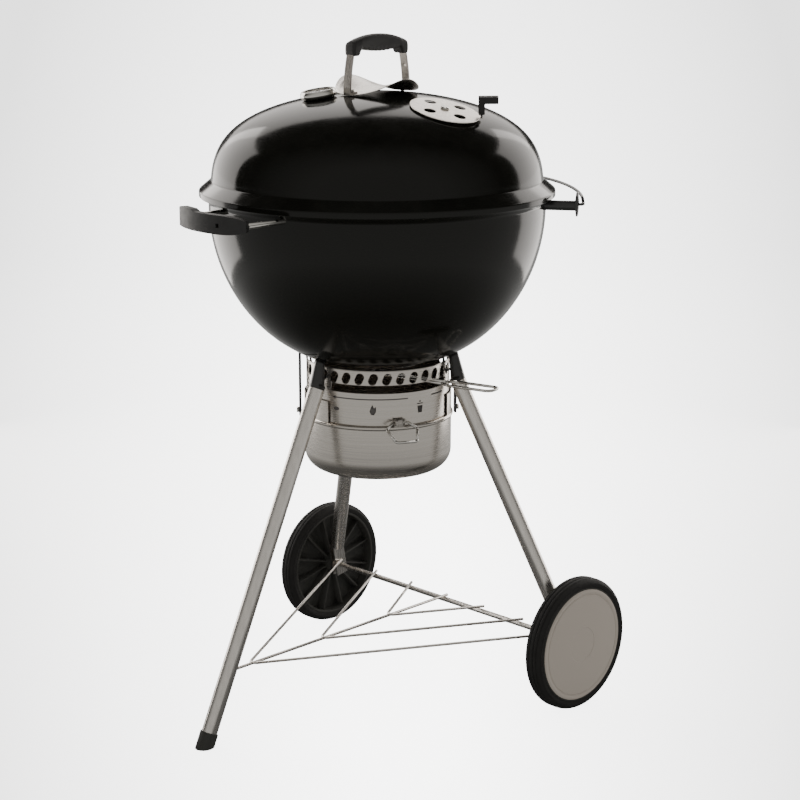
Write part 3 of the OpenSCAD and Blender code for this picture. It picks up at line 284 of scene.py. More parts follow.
def moulded_finish(name, colour, size, rough, depth, dust_amount=0.05):
    made = Finish(name, IOR=1.5, Specular_IOR_Level=0.27)
    grain = made.effect("Moulded Grain", Size=size)
    dust = made.effect("Settled Dust", Amount=dust_amount)
    base = made.nodes.add("ShaderNodeMix", {0: made.nodes.remap(grain["Mottle"], 0.0, 1.0, 0.35, 0.65)},
                          data_type="RGBA")
    base.inputs[6].default_value = (*tint(colour, 0.88), 1)
    base.inputs[7].default_value = (*tint(colour, 1.14), 1)
    dusty = made.nodes.add("ShaderNodeMix", {0: dust["Mask"], 6: base.outputs[2]}, data_type="RGBA")
    dusty.inputs[7].default_value = (*tint((0.16, 0.15, 0.135), 1 + max(colour)), 1)
    made.feed("Base Color", dusty.outputs[2])
    made.feed("Roughness", made.nodes.remap(grain["Mottle"], rough * 0.88, rough * 1.12, 0.3, 0.7))
    made.bump(grain["Pebble"], depth, 0.0002)
    return made.material


def painted_finish(name, colour, rough):
    made = Finish(name, IOR=1.5, Coat_Weight=0.25, Coat_Roughness=0.2)
    ripple = made.effect("Enamel Ripple", Peel=520.0)
    dust = made.effect("Settled Dust", Amount=0.14)
    made.feed("Base Color", made.nodes.mix(dust["Mask"], colour, (0.14, 0.13, 0.12)))
    made.feed("Roughness", made.nodes.remap(ripple["Haze"], rough * 0.85, rough * 1.2, 0.3, 0.7))
    made.bump(ripple["Height"], 0.10, 0.0004)
    return made.material


def glass_finish(name):
    made = Finish(name, Roughness=0.02, IOR=1.45, Transmission_Weight=1.0)
    smear = made.effect("Enamel Ripple", Peel=60.0)
    made.feed("Roughness", made.nodes.remap(smear["Haze"], 0.01, 0.09, 0.35, 0.8))
    return made.material


def finish(name):
    """The named material, made the first time it is asked for."""
    known = bpy.data.materials.get(name)
    if known:
        return known
    look = bpy.context.scene.grill_finishes
    round_z, along_z, along_x = (6.0, 6.0, 1500.0), (1300.0, 1300.0, 14.0), (14.0, 1300.0, 1300.0)
    recipes = {
        "enamel_black": lambda n: enamel_finish(n, look.enamel),
        "nylon_dark": lambda n: moulded_finish(n, look.nylon, 1500.0, 0.46, 0.22),
        "satin_aluminium": lambda n: metal_finish(n, tint(look.aluminium, 1.08), along_z, 0.24, 0.05, 0.35),
        "satin_disc": lambda n: metal_finish(n, tint(look.aluminium, 1.12), (260.0, 260.0, 260.0), 0.30, 0.30),
        "brushed_stainless": lambda n: metal_finish(n, tint(look.stainless, 1.08), round_z, 0.24, 0.035, 0.6),
        # The beads' stainless is lighter than the ring's, a painted highlight along the rolled beads; it is
        # also a little smoother.
        "bead_stainless_painted_highlight": lambda n: metal_finish(n, tint(look.stainless, 1.15), round_z, 0.20, 0.06, 0.3),
        "strap_stainless": lambda n: metal_finish(n, tint(look.stainless, 0.8), along_z, 0.30, 0.12, 0.3),
        "bright_chrome": lambda n: metal_finish(n, look.chrome, (90.0, 90.0, 90.0), 0.10, 0.03),
        "plated_wire": lambda n: metal_finish(n, tint(look.chrome, 0.95), along_x, 0.18, 0.06),
        "rack_wire_plating": lambda n: metal_finish(n, tint(look.aluminium, 1.05), along_x, 0.30, 0.08),
        "dull_grate": lambda n: metal_finish(n, (0.17, 0.16, 0.15), (300.0, 300.0, 300.0), 0.5, 0.3),
        "blade_steel": lambda n: metal_finish(n, (0.28, 0.27, 0.25), (300.0, 300.0, 300.0), 0.42, 0.2),
        "black_paint": lambda n: painted_finish(n, look.black_steel, 0.30),
        "tyre_rubber": lambda n: moulded_finish(n, look.rubber, 900.0, 0.66, 0.5, 0.12),
        "wheel_plastic": lambda n: moulded_finish(n, tint(look.rubber, 1.3), 1500.0, 0.5, 0.2),
        "cap_grey": lambda n: moulded_finish(n, look.hub_cap, 1500.0, 0.55, 0.18),
        "dial_white": lambda n: moulded_finish(n, (0.70, 0.69, 0.66), 2500.0, 0.5, 0.05, 0.02),
        "dial_ink": lambda n: moulded_finish(n, (0.02, 0.02, 0.02), 2500.0, 0.5, 0.05, 0.0),
        "needle_red": lambda n: painted_finish(n, (0.50, 0.03, 0.015), 0.35),
        "cover_glass": glass_finish,
        "mark_ink": lambda n: painted_finish(n, (0.05, 0.045, 0.04), 0.45),
    }
    return recipes[name](name)


# ---------------------------------------------------------------- mesh helpers

def keep(piece, body, slot, material, *nodes):
    """Gives a piece its finish and its body, and lets it stand for CAD nodes; the slot it is given is not used.
    """
    piece.data.materials.clear()
    piece.data.materials.append(finish(material))
    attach(piece, body)
    if nodes:
        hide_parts(*nodes)
    return piece


def shape_to_piece(name, bm, angle=35.0, heal=True):
    """Makes an object of a bmesh, smooth except over sharp edges."""
    if heal:
        bmesh.ops.remove_doubles(bm, verts=bm.verts, dist=2e-6)
        bmesh.ops.recalc_face_normals(bm, faces=bm.faces)
    mesh = bpy.data.meshes.new(name)
    bm.to_mesh(mesh)
    bm.free()
    mesh.shade_smooth()
    mesh.set_sharp_from_angle(angle=math.radians(angle))
    piece = bpy.data.objects.new(name, mesh)
    bpy.context.scene.collection.objects.link(piece)
    return piece


def apply_modifiers(piece, angle=35.0):
    """Turns a piece's modifiers into its mesh."""
    graph = bpy.context.evaluated_depsgraph_get()
    mesh = bpy.data.meshes.new_from_object(piece.evaluated_get(graph), depsgraph=graph)
    old = piece.data
    piece.modifiers.clear()
    piece.data = mesh
    bpy.data.meshes.remove(old)
    mesh.shade_smooth()
    mesh.set_sharp_from_angle(angle=math.radians(angle))


def soften(piece, width, segments=2, angle=40.0):
    """Rounds a piece's sharp edges a little, as pressing or moulding leaves them."""
    bevel = piece.modifiers.new("rounded edges", "BEVEL")
    bevel.width = width
    bevel.segments = segments
    bevel.limit_method = "ANGLE"
    bevel.angle_limit = math.radians(angle)
    bevel.harden_normals = True
    return piece


def copy_node(node, name=None, angle=35.0):
    """A merged copy of a CAD node's mesh, smooth except over sharp edges."""
    bm = bmesh.new()
    bm.from_mesh(frame["nodes"][node].data)
    bmesh.ops.remove_doubles(bm, verts=bm.verts, dist=2e-6)
    return shape_to_piece(name or node + "_finished", bm, angle, heal=False)


def finish_node(node, slot, material, angle=35.0, bevel=0.0):
    """Stands a smooth copy in for a CAD node, with its finish."""
    piece = copy_node(node, angle=angle)
    body = next(name for name, members in frame["record"]["behaviour"]["bodies"].items() if node in members)
    keep(piece, body, slot, material, node)
    if bevel:
        soften(piece, bevel, 1)
    return piece


def spun(name, outline, turns, closed=True, angle=35.0):
    """Spins an outline of (radius, height) points about the Z axis into a piece."""
    bm = bmesh.new()
    verts = [bm.verts.new((max(r, 0.0), 0, z)) for r, z in outline]
    pairs = list(zip(verts, verts[1:]))
    if closed:
        pairs.append((verts[-1], verts[0]))
    for a, b in pairs:
        bm.edges.new((a, b))
    bmesh.ops.spin(bm, geom=bm.verts[:] + bm.edges[:], cent=(0, 0, 0), axis=(0, 0, 1),
                   angle=2 * math.pi, steps=turns, use_merge=True)
    bmesh.ops.dissolve_degenerate(bm, dist=1e-7, edges=bm.edges)
    return shape_to_piece(name, bm, angle)


def place(piece, matrix):
    """Moves a piece's mesh, and leaves its object where it is."""
    piece.data.transform(matrix)
    return piece


def cylinder(name, radius, low, high, sides=48):
    """A rod between two points."""
    low, high = Vector(low), Vector(high)
    bm = bmesh.new()
    bmesh.ops.create_cone(bm, cap_ends=True, segments=sides, radius1=radius, radius2=radius,
                          depth=(high - low).length)
    turn = (high - low).to_track_quat("Z", "Y").to_matrix().to_4x4()
    bmesh.ops.transform(bm, matrix=Matrix.Translation((low + high) / 2) @ turn, verts=bm.verts)
    return shape_to_piece(name, bm)


def cut(piece, cutters, angle=35.0):
    """Takes the cutters out of a piece, and removes them."""
    for cutter in cutters:
        hole = piece.modifiers.new("hole", "BOOLEAN")
        hole.operation = "DIFFERENCE"
        hole.solver = "EXACT"
        hole.object = cutter
    apply_modifiers(piece, angle)
    for cutter in cutters:
        mesh = cutter.data
        bpy.data.objects.remove(cutter)
        bpy.data.meshes.remove(mesh)
    return piece


def centred():
    return Matrix.Translation((BOWL_X, 0, 0))


# ---------------------------------------------------------------- the kettle's outline

LID = {"r": 0.2676, "base": 0.8145, "rise": 0.189, "p": 1.05, "q": 0.54, "start": 5.2}
BOWL = {"r": 0.2708, "base": 0.8205, "depth": 0.2605, "p": 0.868, "q": 1.0425}
LIP = {"r": 0.2858, "low": 0.841, "band": 0.009}
LIP_OVERHANG = 0.0048
BEAD_GAP = 0.0004


def lid_point(angle, inset=0.0):
    t = math.radians(angle)
    return ((LID["r"] - inset) * math.cos(t) ** LID["p"],
            LID["base"] + (LID["rise"] - inset) * math.sin(t) ** LID["q"])


def lid_height(radius):
    return LID["base"] + LID["rise"] * (1 - (radius / LID["r"]) ** (2 / LID["p"])) ** (LID["q"] / 2)


def lid_slope(radius):
    return math.atan2(lid_height(radius - 0.001) - lid_height(radius + 0.001), 0.002)


def bowl_point(angle, inset=0.0):
    t = math.radians(angle)
    return ((BOWL["r"] - inset) * max(math.cos(t), 0.0) ** BOWL["p"],
            BOWL["base"] - (BOWL["depth"] - inset) * math.sin(t) ** BOWL["q"])


def on_lid(reach, turn):
    """The placement of something that stands on the lid, its Z along the lid's normal."""
    around = Matrix.Rotation(math.radians(turn), 4, "Z")
    foot = Matrix.Translation((reach, 0, lid_height(reach)))
    return centred() @ around @ foot @ Matrix.Rotation(lid_slope(reach), 4, "Y")


def fillet(before, corner, after, radius, steps=5):
    """Points that round a corner of an outline."""
    before, corner, after = Vector(before), Vector(corner), Vector(after)
    first, last = (before - corner).normalized(), (after - corner).normalized()
    half = first.angle(last) / 2
    reach = radius / math.tan(half)
    centre = corner + (first + last).normalized() * radius / math.sin(half)
    start, end = corner + first * reach - centre, corner + last * reach - centre
    points = []
    for i in range(steps + 1):
        mixed = start.lerp(end, i / steps).normalized() * radius + centre
        points.append((mixed.x, mixed.y))
    return points


DAMPER = {"reach": 0.150, "turn": -90.0, "ring": 0.033}
THERMO = {"reach": 0.096, "turn": 154.0}


def damper_cutters(radius, low, high, spots=4):
    cutters = []
    for k in range(spots):
        turn = 2 * math.pi * k / spots
        x, y = DAMPER["ring"] * math.cos(turn), DAMPER["ring"] * math.sin(turn)
        cutters.append(cylinder("hole_cutter", radius, (x, y, low), (x, y, high), 40))
    return cutters


# ---------------------------------------------------------------- operators

FLOOR_RADIUS = 70
CAMERA_AT = (-2.16426, -2.27668, 1.27627)
CAMERA_AHEAD = Vector((0.68260, 0.69069, -0.23873))
CAMERA_RIGHT = Vector((0.7113, -0.7030, 0))
TOWARD_CAMERA = Vector((-0.7030, -0.7113, 0))


class GRILL_OT_studio(bpy.types.Operator):
    """Add the floor, the soft lights and the camera"""
    bl_idname = "grill.studio"
    bl_label = "Studio"

    def execute(self, context):
        studio = context.scene.grill_studio
        self.camera(context, studio)
        self.floor(studio)
        self.lights(studio)
        self.world(context)
        return {"FINISHED"}

    def camera(self, context, studio):
        data = bpy.data.cameras.new("camera")
        data.lens = studio.lens
        data.sensor_width = 36
        data.clip_end = 200
        camera = bpy.data.objects.new("camera", data)
        context.scene.collection.objects.link(camera)
        right, ahead = CAMERA_RIGHT.normalized(), CAMERA_AHEAD.normalized()
        up = right.cross(ahead).normalized()
        turn = Matrix((right, up, -ahead)).transposed().to_4x4()
        camera.matrix_world = Matrix.Translation(CAMERA_AT) @ turn
        context.scene.camera = camera

    def floor(self, studio):
        bm = bmesh.new()
        bmesh.ops.create_circle(bm, cap_ends=True, radius=FLOOR_RADIUS, segments=96)
        floor = shape_to_piece("floor", bm)
        made = Finish("studio_floor", Roughness=0.8, Emission_Strength=1.0)
        place_of = made.nodes.add("ShaderNodeTexCoord").outputs["Object"]
        cloud = made.nodes.add("ShaderNodeTexNoise", {"Vector": place_of}, Scale=1.5, Detail=4.0)
        made.feed("Base Color", made.nodes.mix(cloud.outputs[0], tint(studio.floor, 0.99), studio.floor))
        # Painted light: to the camera the floor glows, brightest low in the middle of the frame and fading
        # towards the corners, a painted light falloff; diffuse rays see an even glow.
        path = made.nodes.add("ShaderNodeLightPath")
        window = made.nodes.add("ShaderNodeTexCoord").outputs["Window"]
        middle = made.nodes.add("ShaderNodeVectorMath", {0: window}, operation="SUBTRACT")
        middle.inputs[1].default_value = (0.5, 0.2, 0)
        oval = made.nodes.add("ShaderNodeVectorMath", {0: middle.outputs[0]}, operation="MULTIPLY")
        oval.inputs[1].default_value = (1.3, 0.6, 0)
        away = made.nodes.add("ShaderNodeVectorMath", {0: oval.outputs[0]}, operation="LENGTH").outputs["Value"]
        glow = made.nodes.remap(away, studio.sweep, studio.sweep * 0.33, 0.1, 0.76)
        seen = made.nodes.add("ShaderNodeMix", {0: path.outputs["Is Camera Ray"], 3: glow})
        seen.inputs[2].default_value = 0.5
        tree = made.material.node_tree
        tree.links.new(seen.outputs[0], made.shader.inputs["Emission Color"])
        # Painted reflection and shade: polished surfaces see the floor as a glow that is dim close under the
        # grill and brighter further out, a painted shadow beneath the grill.
        painted_floor_reflection = made.nodes.add("ShaderNodeEmission")
        painted_floor_reflection.inputs["Color"].default_value = (0.96, 0.95, 0.92, 1)
        span = made.nodes.add("ShaderNodeVectorMath", {0: place_of}, operation="LENGTH")
        made.nodes.tree.links.new(made.nodes.remap(span.outputs["Value"], 0.10, studio.mirror, 0.45, 1.5),
                                  painted_floor_reflection.inputs["Strength"])
        mixed = made.nodes.add("ShaderNodeMixShader", {0: path.outputs["Is Glossy Ray"],
                                                       1: made.shader.outputs[0], 2: painted_floor_reflection.outputs[0]})
        tree.links.new(mixed.outputs[0], tree.nodes["Material Output"].inputs["Surface"])
        floor.data.materials.append(made.material)

    def lights(self, studio):
        middle = Vector((BOWL_X, 0, 0.80))
        panels = (
            ("left_softbox", -128, 1.9, 0.30, (1.5, 2.2), studio.left),
            ("right_softbox", 128, 1.9, 0.30, (1.4, 2.2), studio.right),
            ("back_panel", 180, 3.2, 1.75, (4.8, 2.2), studio.back),
        )
        for name, turn, reach, rise, size, power in panels:
            data = bpy.data.lights.new(name, "AREA")
            data.shape = "RECTANGLE"
            data.size, data.size_y = size
            data.energy = power
            data.color = (1.0, 0.955, 0.91)
            lamp = bpy.data.objects.new(name, data)
            bpy.context.scene.collection.objects.link(lamp)
            angle = math.radians(turn)
            toward = TOWARD_CAMERA * math.cos(angle) + CAMERA_RIGHT * math.sin(angle)
            spot = middle + toward * reach + Vector((0, 0, rise))
            aim = spot - middle if name == "back_panel" else toward
            lamp.matrix_world = Matrix.Translation(spot) @ aim.to_track_quat("Z", "Y").to_matrix().to_4x4()
            lamp.visible_camera = False

    def world(self, context):
        world = bpy.data.worlds.new("studio_air")
        context.scene.world = world
        world.use_nodes = True
        nodes = Nodes(world.node_tree)
        backdrop = world.node_tree.nodes["Background"]
        backdrop.inputs["Color"].default_value = (0.86, 0.86, 0.855, 1)
        air = nodes.add("ShaderNodeBackground")
        air.inputs["Color"].default_value = (1.0, 0.99, 0.97, 1)
        air.inputs["Strength"].default_value = context.scene.grill_studio.air
        dark = nodes.add("ShaderNodeBackground")
        dark.inputs["Color"].default_value = (1.0, 0.98, 0.94, 1)
        ray = nodes.add("ShaderNodeTexCoord").outputs["Generated"]
        front = nodes.add("ShaderNodeVectorMath", {0: ray}, operation="DOT_PRODUCT")
        front.inputs[1].default_value = TOWARD_CAMERA
        glow = nodes.remap(front.outputs["Value"], 0.04, 0.45, -0.1, 0.7)
        world.node_tree.links.new(glow, dark.inputs["Strength"])
        path = nodes.add("ShaderNodeLightPath")
        glossy = nodes.add("ShaderNodeMixShader", {0: path.outputs["Is Glossy Ray"], 1: air.outputs[0],
                                                   2: dark.outputs[0]})
        seen = nodes.add("ShaderNodeMixShader", {0: path.outputs["Is Camera Ray"], 1: glossy.outputs[0],
                                                 2: backdrop.outputs[0]})
        world.node_tree.links.new(seen.outputs[0], world.node_tree.nodes["World Output"].inputs["Surface"])


class GRILL_OT_lid(bpy.types.Operator):
    """Spin the enamelled lid with its rounded lip, and pierce it for the damper and thermometer"""
    bl_idname = "grill.lid"
    bl_label = "Lid"

    def execute(self, context):
        sizes = context.scene.grill_kettle
        wall = sizes.wall
        start = LID["start"]
        foot = lid_point(start)
        low, high = (LIP["r"], LIP["low"]), (LIP["r"], LIP["low"] + LIP["band"])
        outline = [(LIP["r"] - wall / 2, LIP["low"]), (LIP["r"], LIP["low"] + wall / 2)]
        outline += fillet(low, high, foot, 0.0035)
        outline += fillet(high, foot, lid_point(start + 2), 0.004)
        steps = 66
        climb = [start + 1.2 + (88.8 - start) * (i / steps) ** 1.15 for i in range(steps + 1)]
        outline += [lid_point(angle) for angle in climb]
        inner = [lid_point(angle, wall) for angle in reversed(climb)]
        inner_foot = lid_point(start, wall)
        inner_high = (LIP["r"] - wall, high[1] - wall / 2)
        outline += inner
        outline += fillet(lid_point(start + 2, wall), inner_foot, inner_high, 0.003)
        outline += fillet(inner_foot, inner_high, (LIP["r"] - wall, LIP["low"]), 0.0025)
        outline += [(LIP["r"] - wall, LIP["low"] + wall / 2)]
        lid = spun("lid_shell", outline, sizes.turns)
        place(lid, centred())
        cutters = damper_cutters(sizes.damper_hole, -0.025, 0.006)
        for cutter in cutters:
            place(cutter, on_lid(DAMPER["reach"], DAMPER["turn"]))
        thermo = cylinder("hole_cutter", 0.004, (0, 0, -0.015), (0, 0, 0.015))
        place(thermo, on_lid(THERMO["reach"], THERMO["turn"]))
        cut(lid, cutters + [thermo], 40)
        keep(lid, "lid", "enamel", "enamel_black", "lid")
        return {"FINISHED"}


class GRILL_OT_bowl(bpy.types.Operator):
    """Spin the enamelled bowl with its rolled rim, and cut its ash slots"""
    bl_idname = "grill.bowl"
    bl_label = "Bowl"

    def execute(self, context):
        sizes = context.scene.grill_kettle
        wall = sizes.wall
        rim_r = LIP["r"] - LIP_OVERHANG
        foot, turn = BOWL["base"] + 0.0115, BOWL["base"] + 0.020
        steps = 70
        outer = [bowl_point(90 * (1 - i / steps)) for i in range(steps + 1)]
        inner = [bowl_point(90 * i / steps, wall) for i in range(steps + 1)]
        bead_r = sizes.bead - 0.0003
        lid_foot = lid_point(LID["start"])
        slope = (lid_foot[1] - LIP["low"] - LIP["band"]) / (LIP["r"] - lid_foot[0])
        bead_at = rim_r - bead_r
        drop = (bead_at - lid_foot[0] + wall) * slope + (bead_r + BEAD_GAP) / math.cos(math.atan(slope))
        bead_h = lid_foot[1] - drop
        outline = outer[:-1]
        outline += fillet(outer[-2], (BOWL["r"], foot), (rim_r, turn), 0.006)
        outline += fillet((BOWL["r"], foot), (rim_r, turn), (rim_r, bead_h), 0.003)
        for i in range(13):
            a = math.radians(-10 + 250 * i / 12)
            outline.append((bead_at + bead_r * math.cos(a), bead_h + bead_r * math.sin(a)))
        outline += [(rim_r - wall, turn + wall / 2), (BOWL["r"] - wall, foot + wall / 2)]
        outline += inner[:-1]
        outline += [(0.0, inner[-1][1])]
        bowl = spun("bowl_shell", outline, sizes.turns)
        cutters = [cylinder("hole_cutter", 0.00505, (0, 0, 0.55), (0, 0, 0.60))]
        for k in range(3):
            cutters.append(self.slot_cutter(120 * k))
        cut(bowl, cutters, 40)
        place(bowl, centred())
        keep(bowl, "stand", "enamel", "enamel_black", "bowl")
        return {"FINISHED"}

    def slot_cutter(self, turn):
        bm = bmesh.new()
        bmesh.ops.create_circle(bm, cap_ends=True, segments=32, radius=0.013)
        for vert in bm.verts:
            vert.co.x += math.copysign(0.019, vert.co.x) if abs(vert.co.x) > 1e-6 else 0.0
        grown = bmesh.ops.extrude_face_region(bm, geom=bm.faces[:])
        lifted = [v for v in grown["geom"] if isinstance(v, bmesh.types.BMVert)]
        bmesh.ops.translate(bm, vec=(0, 0, 0.08), verts=lifted)
        bmesh.ops.translate(bm, vec=(0.070, 0, 0.54), verts=bm.verts)
        bmesh.ops.rotate(bm, cent=(0, 0, 0), matrix=Matrix.Rotation(math.radians(turn), 3, "Z"), verts=bm.verts)
        return shape_to_piece("hole_cutter", bm)


class GRILL_OT_lid_handle(bpy.types.Operator):
    """Mould the lid's arched grip and finish its straps, shield and bolts"""
    bl_idname = "grill.lid_handle"
    bl_label = "Lid handle"

    def execute(self, context):
        self.grip()
        straps = finish_node("lid_handle_straps", "stainless", "strap_stainless", 30)
        soften(straps, 0.0006, 2)
        shield = copy_node("heat_shield", angle=50)
        keep(shield, "lid", "aluminium_satin", "satin_disc", "heat_shield")
        finish_node("handle_bolts", "chrome_wire", "bright_chrome")
        return {"FINISHED"}

    def grip(self):
        low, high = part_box("lid_handle_grip")
        half, depth = (high[0] - low[0]) / 2, (high[1] - low[1]) / 2
        top, bottom = high[2], low[2]
        bm = bmesh.new()
        bmesh.ops.create_cube(bm, size=2)
        along = [e for e in bm.edges if abs(e.verts[0].co.x - e.verts[1].co.x) > 1]
        bmesh.ops.subdivide_edges(bm, edges=along, cuts=35, use_grid_fill=True)
        across = [e for e in bm.edges if abs(e.verts[0].co.y - e.verts[1].co.y) > 1]
        bmesh.ops.subdivide_edges(bm, edges=across, cuts=5, use_grid_fill=True)
        upright = [e for e in bm.edges if abs(e.verts[0].co.z - e.verts[1].co.z) > 1]
        bmesh.ops.subdivide_edges(bm, edges=upright, cuts=3, use_grid_fill=True)
        for vert in bm.verts:
            u, v, w = vert.co
            upper = top - 0.012 * abs(u) ** 2.2
            lower = bottom if abs(u) > 0.76 else bottom + 0.005 + 0.006 * (abs(u) / 0.76) ** 2
            if abs(u) < 0.70:
                lower += 0.0010 * (1 - math.cos(u * math.pi * 2 * 7)) * (1 - (u / 0.70) ** 4)
            crown = 0.0022 * (1 - v * v)
            pinch = 1 - 0.10 * max(0.0, 1 - (u / 0.8) ** 2)
            height = lower + (upper - 0.0022 - lower) * (w + 1) / 2 + (crown if w > 0.9 else 0)
            side = depth * pinch * v
            if abs(w) > 0.9:
                side *= 0.86
            end = half * u
            if abs(u) > 0.99:
                end *= 0.97 if abs(w) > 0.9 or abs(v) > 0.9 else 1.0
            vert.co = Vector((BOWL_X + end, side, height))
        grip = shape_to_piece("lid_grip_moulding", bm, 60)
        smooth = grip.modifiers.new("moulded", "SUBSURF")
        smooth.levels = smooth.render_levels = 2
        keep(grip, "lid", "nylon", "nylon_dark", "lid_handle_grip")


class GRILL_OT_damper(bpy.types.Operator):
    """Finish the damper disc with its holes and tab, and its grip and rivet"""
    bl_idname = "grill.damper"
    bl_label = "Damper"

    def execute(self, context):
        finish_node("damper", "aluminium_satin", "satin_disc", 30)
        grip = finish_node("damper_grip", "nylon", "nylon_dark", 30)
        soften(grip, 0.0036, 4)
        finish_node("damper_rivet", "chrome_wire", "bright_chrome")
        return {"FINISHED"}


class GRILL_OT_thermometer(bpy.types.Operator):
    """Finish the thermometer's case and dial, with marks round the dial"""
    bl_idname = "grill.thermometer"
    bl_label = "Thermometer"

    def execute(self, context):
        bezel = finish_node("thermometer_bezel", "stainless", "bright_chrome", 30)
        soften(bezel, 0.0006, 2)
        finish_node("thermometer_dial", "dial", "dial_white")
        finish_node("thermometer_needle", "needle", "needle_red")
        finish_node("thermometer_glass", "glass", "cover_glass")
        finish_node("thermometer_probe", "chrome_wire", "bright_chrome")
        bm = bmesh.new()
        ticks, dial_top = 30, 0.00765
        for k in range(ticks + 1):
            turn = math.radians(130 - 260 * k / ticks)
            length, width, reach = (0.0042, 0.0007, 0.0205) if k % 5 == 0 else (0.0022, 0.0004, 0.0215)
            tick = bmesh.ops.create_cube(bm, size=1)["verts"]
            bmesh.ops.scale(bm, vec=(length, width, 0.0002), verts=tick)
            bmesh.ops.translate(bm, vec=(reach, 0, dial_top), verts=tick)
            bmesh.ops.rotate(bm, cent=(0, 0, 0), matrix=Matrix.Rotation(turn, 3, "Z"), verts=tick)
        marks = shape_to_piece("dial_marks", bm)
        place(marks, on_lid(THERMO["reach"], THERMO["turn"]))
        keep(marks, "lid", "dial", "dial_ink")
        return {"FINISHED"}


class GRILL_OT_side_handles(bpy.types.Operator):
    """Mould the two curved side grips, and finish their standoffs"""
    bl_idname = "grill.side_handles"
    bl_label = "Side handles"

    def execute(self, context):
        left = self.board("left_grip_board", 0.360, 0.078, 0.8165, 0.029, 0.0035, math.pi)
        behind = centred() @ Matrix.Rotation(math.pi, 4, "Z") @ Matrix.Translation((0.174, 0, 0))
        through = self.block((0.040, 0.0055, 0.006), (0.174, 0.029, 0.8300))
        recess = self.block((0.006, 0.016, 0.015), (0.1725, -0.0535, 0.8315))
        cut(left, [place(through, behind), place(recess, behind)], 30)
        soften(left, 0.0034, 4, 50)
        keep(left, "stand", "nylon", "nylon_dark", "left_handle_grip")
        right = self.board("right_grip_board", 0.312, 0.055, 0.8005, 0.027, 0.0, 0.0)
        soften(right, 0.0034, 4, 50)
        keep(right, "stand", "nylon", "nylon_dark", "right_handle_grip")
        finish_node("handle_standoffs", "chrome_wire", "bright_chrome")
        return {"FINISHED"}

    def block(self, size, middle):
        bm = bmesh.new()
        bmesh.ops.create_cube(bm, size=1)
        bmesh.ops.scale(bm, vec=size, verts=bm.verts)
        bmesh.ops.translate(bm, vec=middle, verts=bm.verts)
        return shape_to_piece("hole_cutter", bm)

    def board(self, name, reach, half, low, height, hump, turn):
        """A curved board, its outer face at the given reach, with an optional hump at one end"""
        curve, thick = 0.186, 0.012
        bm = bmesh.new()
        bmesh.ops.create_cube(bm, size=2)
        along = [e for e in bm.edges if abs(e.verts[0].co.y - e.verts[1].co.y) > 1]
        bmesh.ops.subdivide_edges(bm, edges=along, cuts=47, use_grid_fill=True)
        spread = math.asin(half / curve)
        for vert in bm.verts:
            x, u, w = vert.co
            angle, radius = u * spread, curve - thick + thick * (x + 1) / 2
            if abs(u) > 0.99:
                angle -= math.copysign(0.006, u) * (1 - x) / 2
            rise = hump * max(0.0, min(1.0, (-u - 0.30) / 0.12)) * max(0.0, min(1.0, (1.0 + u) / 0.10 + 0.4))
            taper = (0.0065 if u > 0 else 0.0015) if hump else 0.0012
            top = low + height + rise - taper * abs(u) ** 4
            bottom = low + taper * abs(u) ** 4
            vert.co = Vector((reach - curve + radius * math.cos(angle), radius * math.sin(angle),
                              bottom + (top - bottom) * (w + 1) / 2))
        bmesh.ops.rotate(bm, cent=(0, 0, 0), matrix=Matrix.Rotation(turn, 3, "Z"), verts=bm.verts)
        bmesh.ops.translate(bm, vec=(BOWL_X, 0, 0), verts=bm.verts)
        return shape_to_piece(name, bm, 40)


class GRILL_OT_lid_holder(bpy.types.Operator):
    """Finish the wire arc that holds the lid, and its posts and plates"""
    bl_idname = "grill.lid_holder"
    bl_label = "Lid holder"

    def execute(self, context):
        finish_node("lid_holder_wire", "black_steel", "black_paint")
        finish_node("lid_holder_posts", "black_steel", "black_paint")
        soften(finish_node("lid_holder_plates", "black_steel", "black_paint", 30), 0.0006, 2)
        return {"FINISHED"}


SIGN_R, SIGN_WRAP = 0.1177, 0.1176


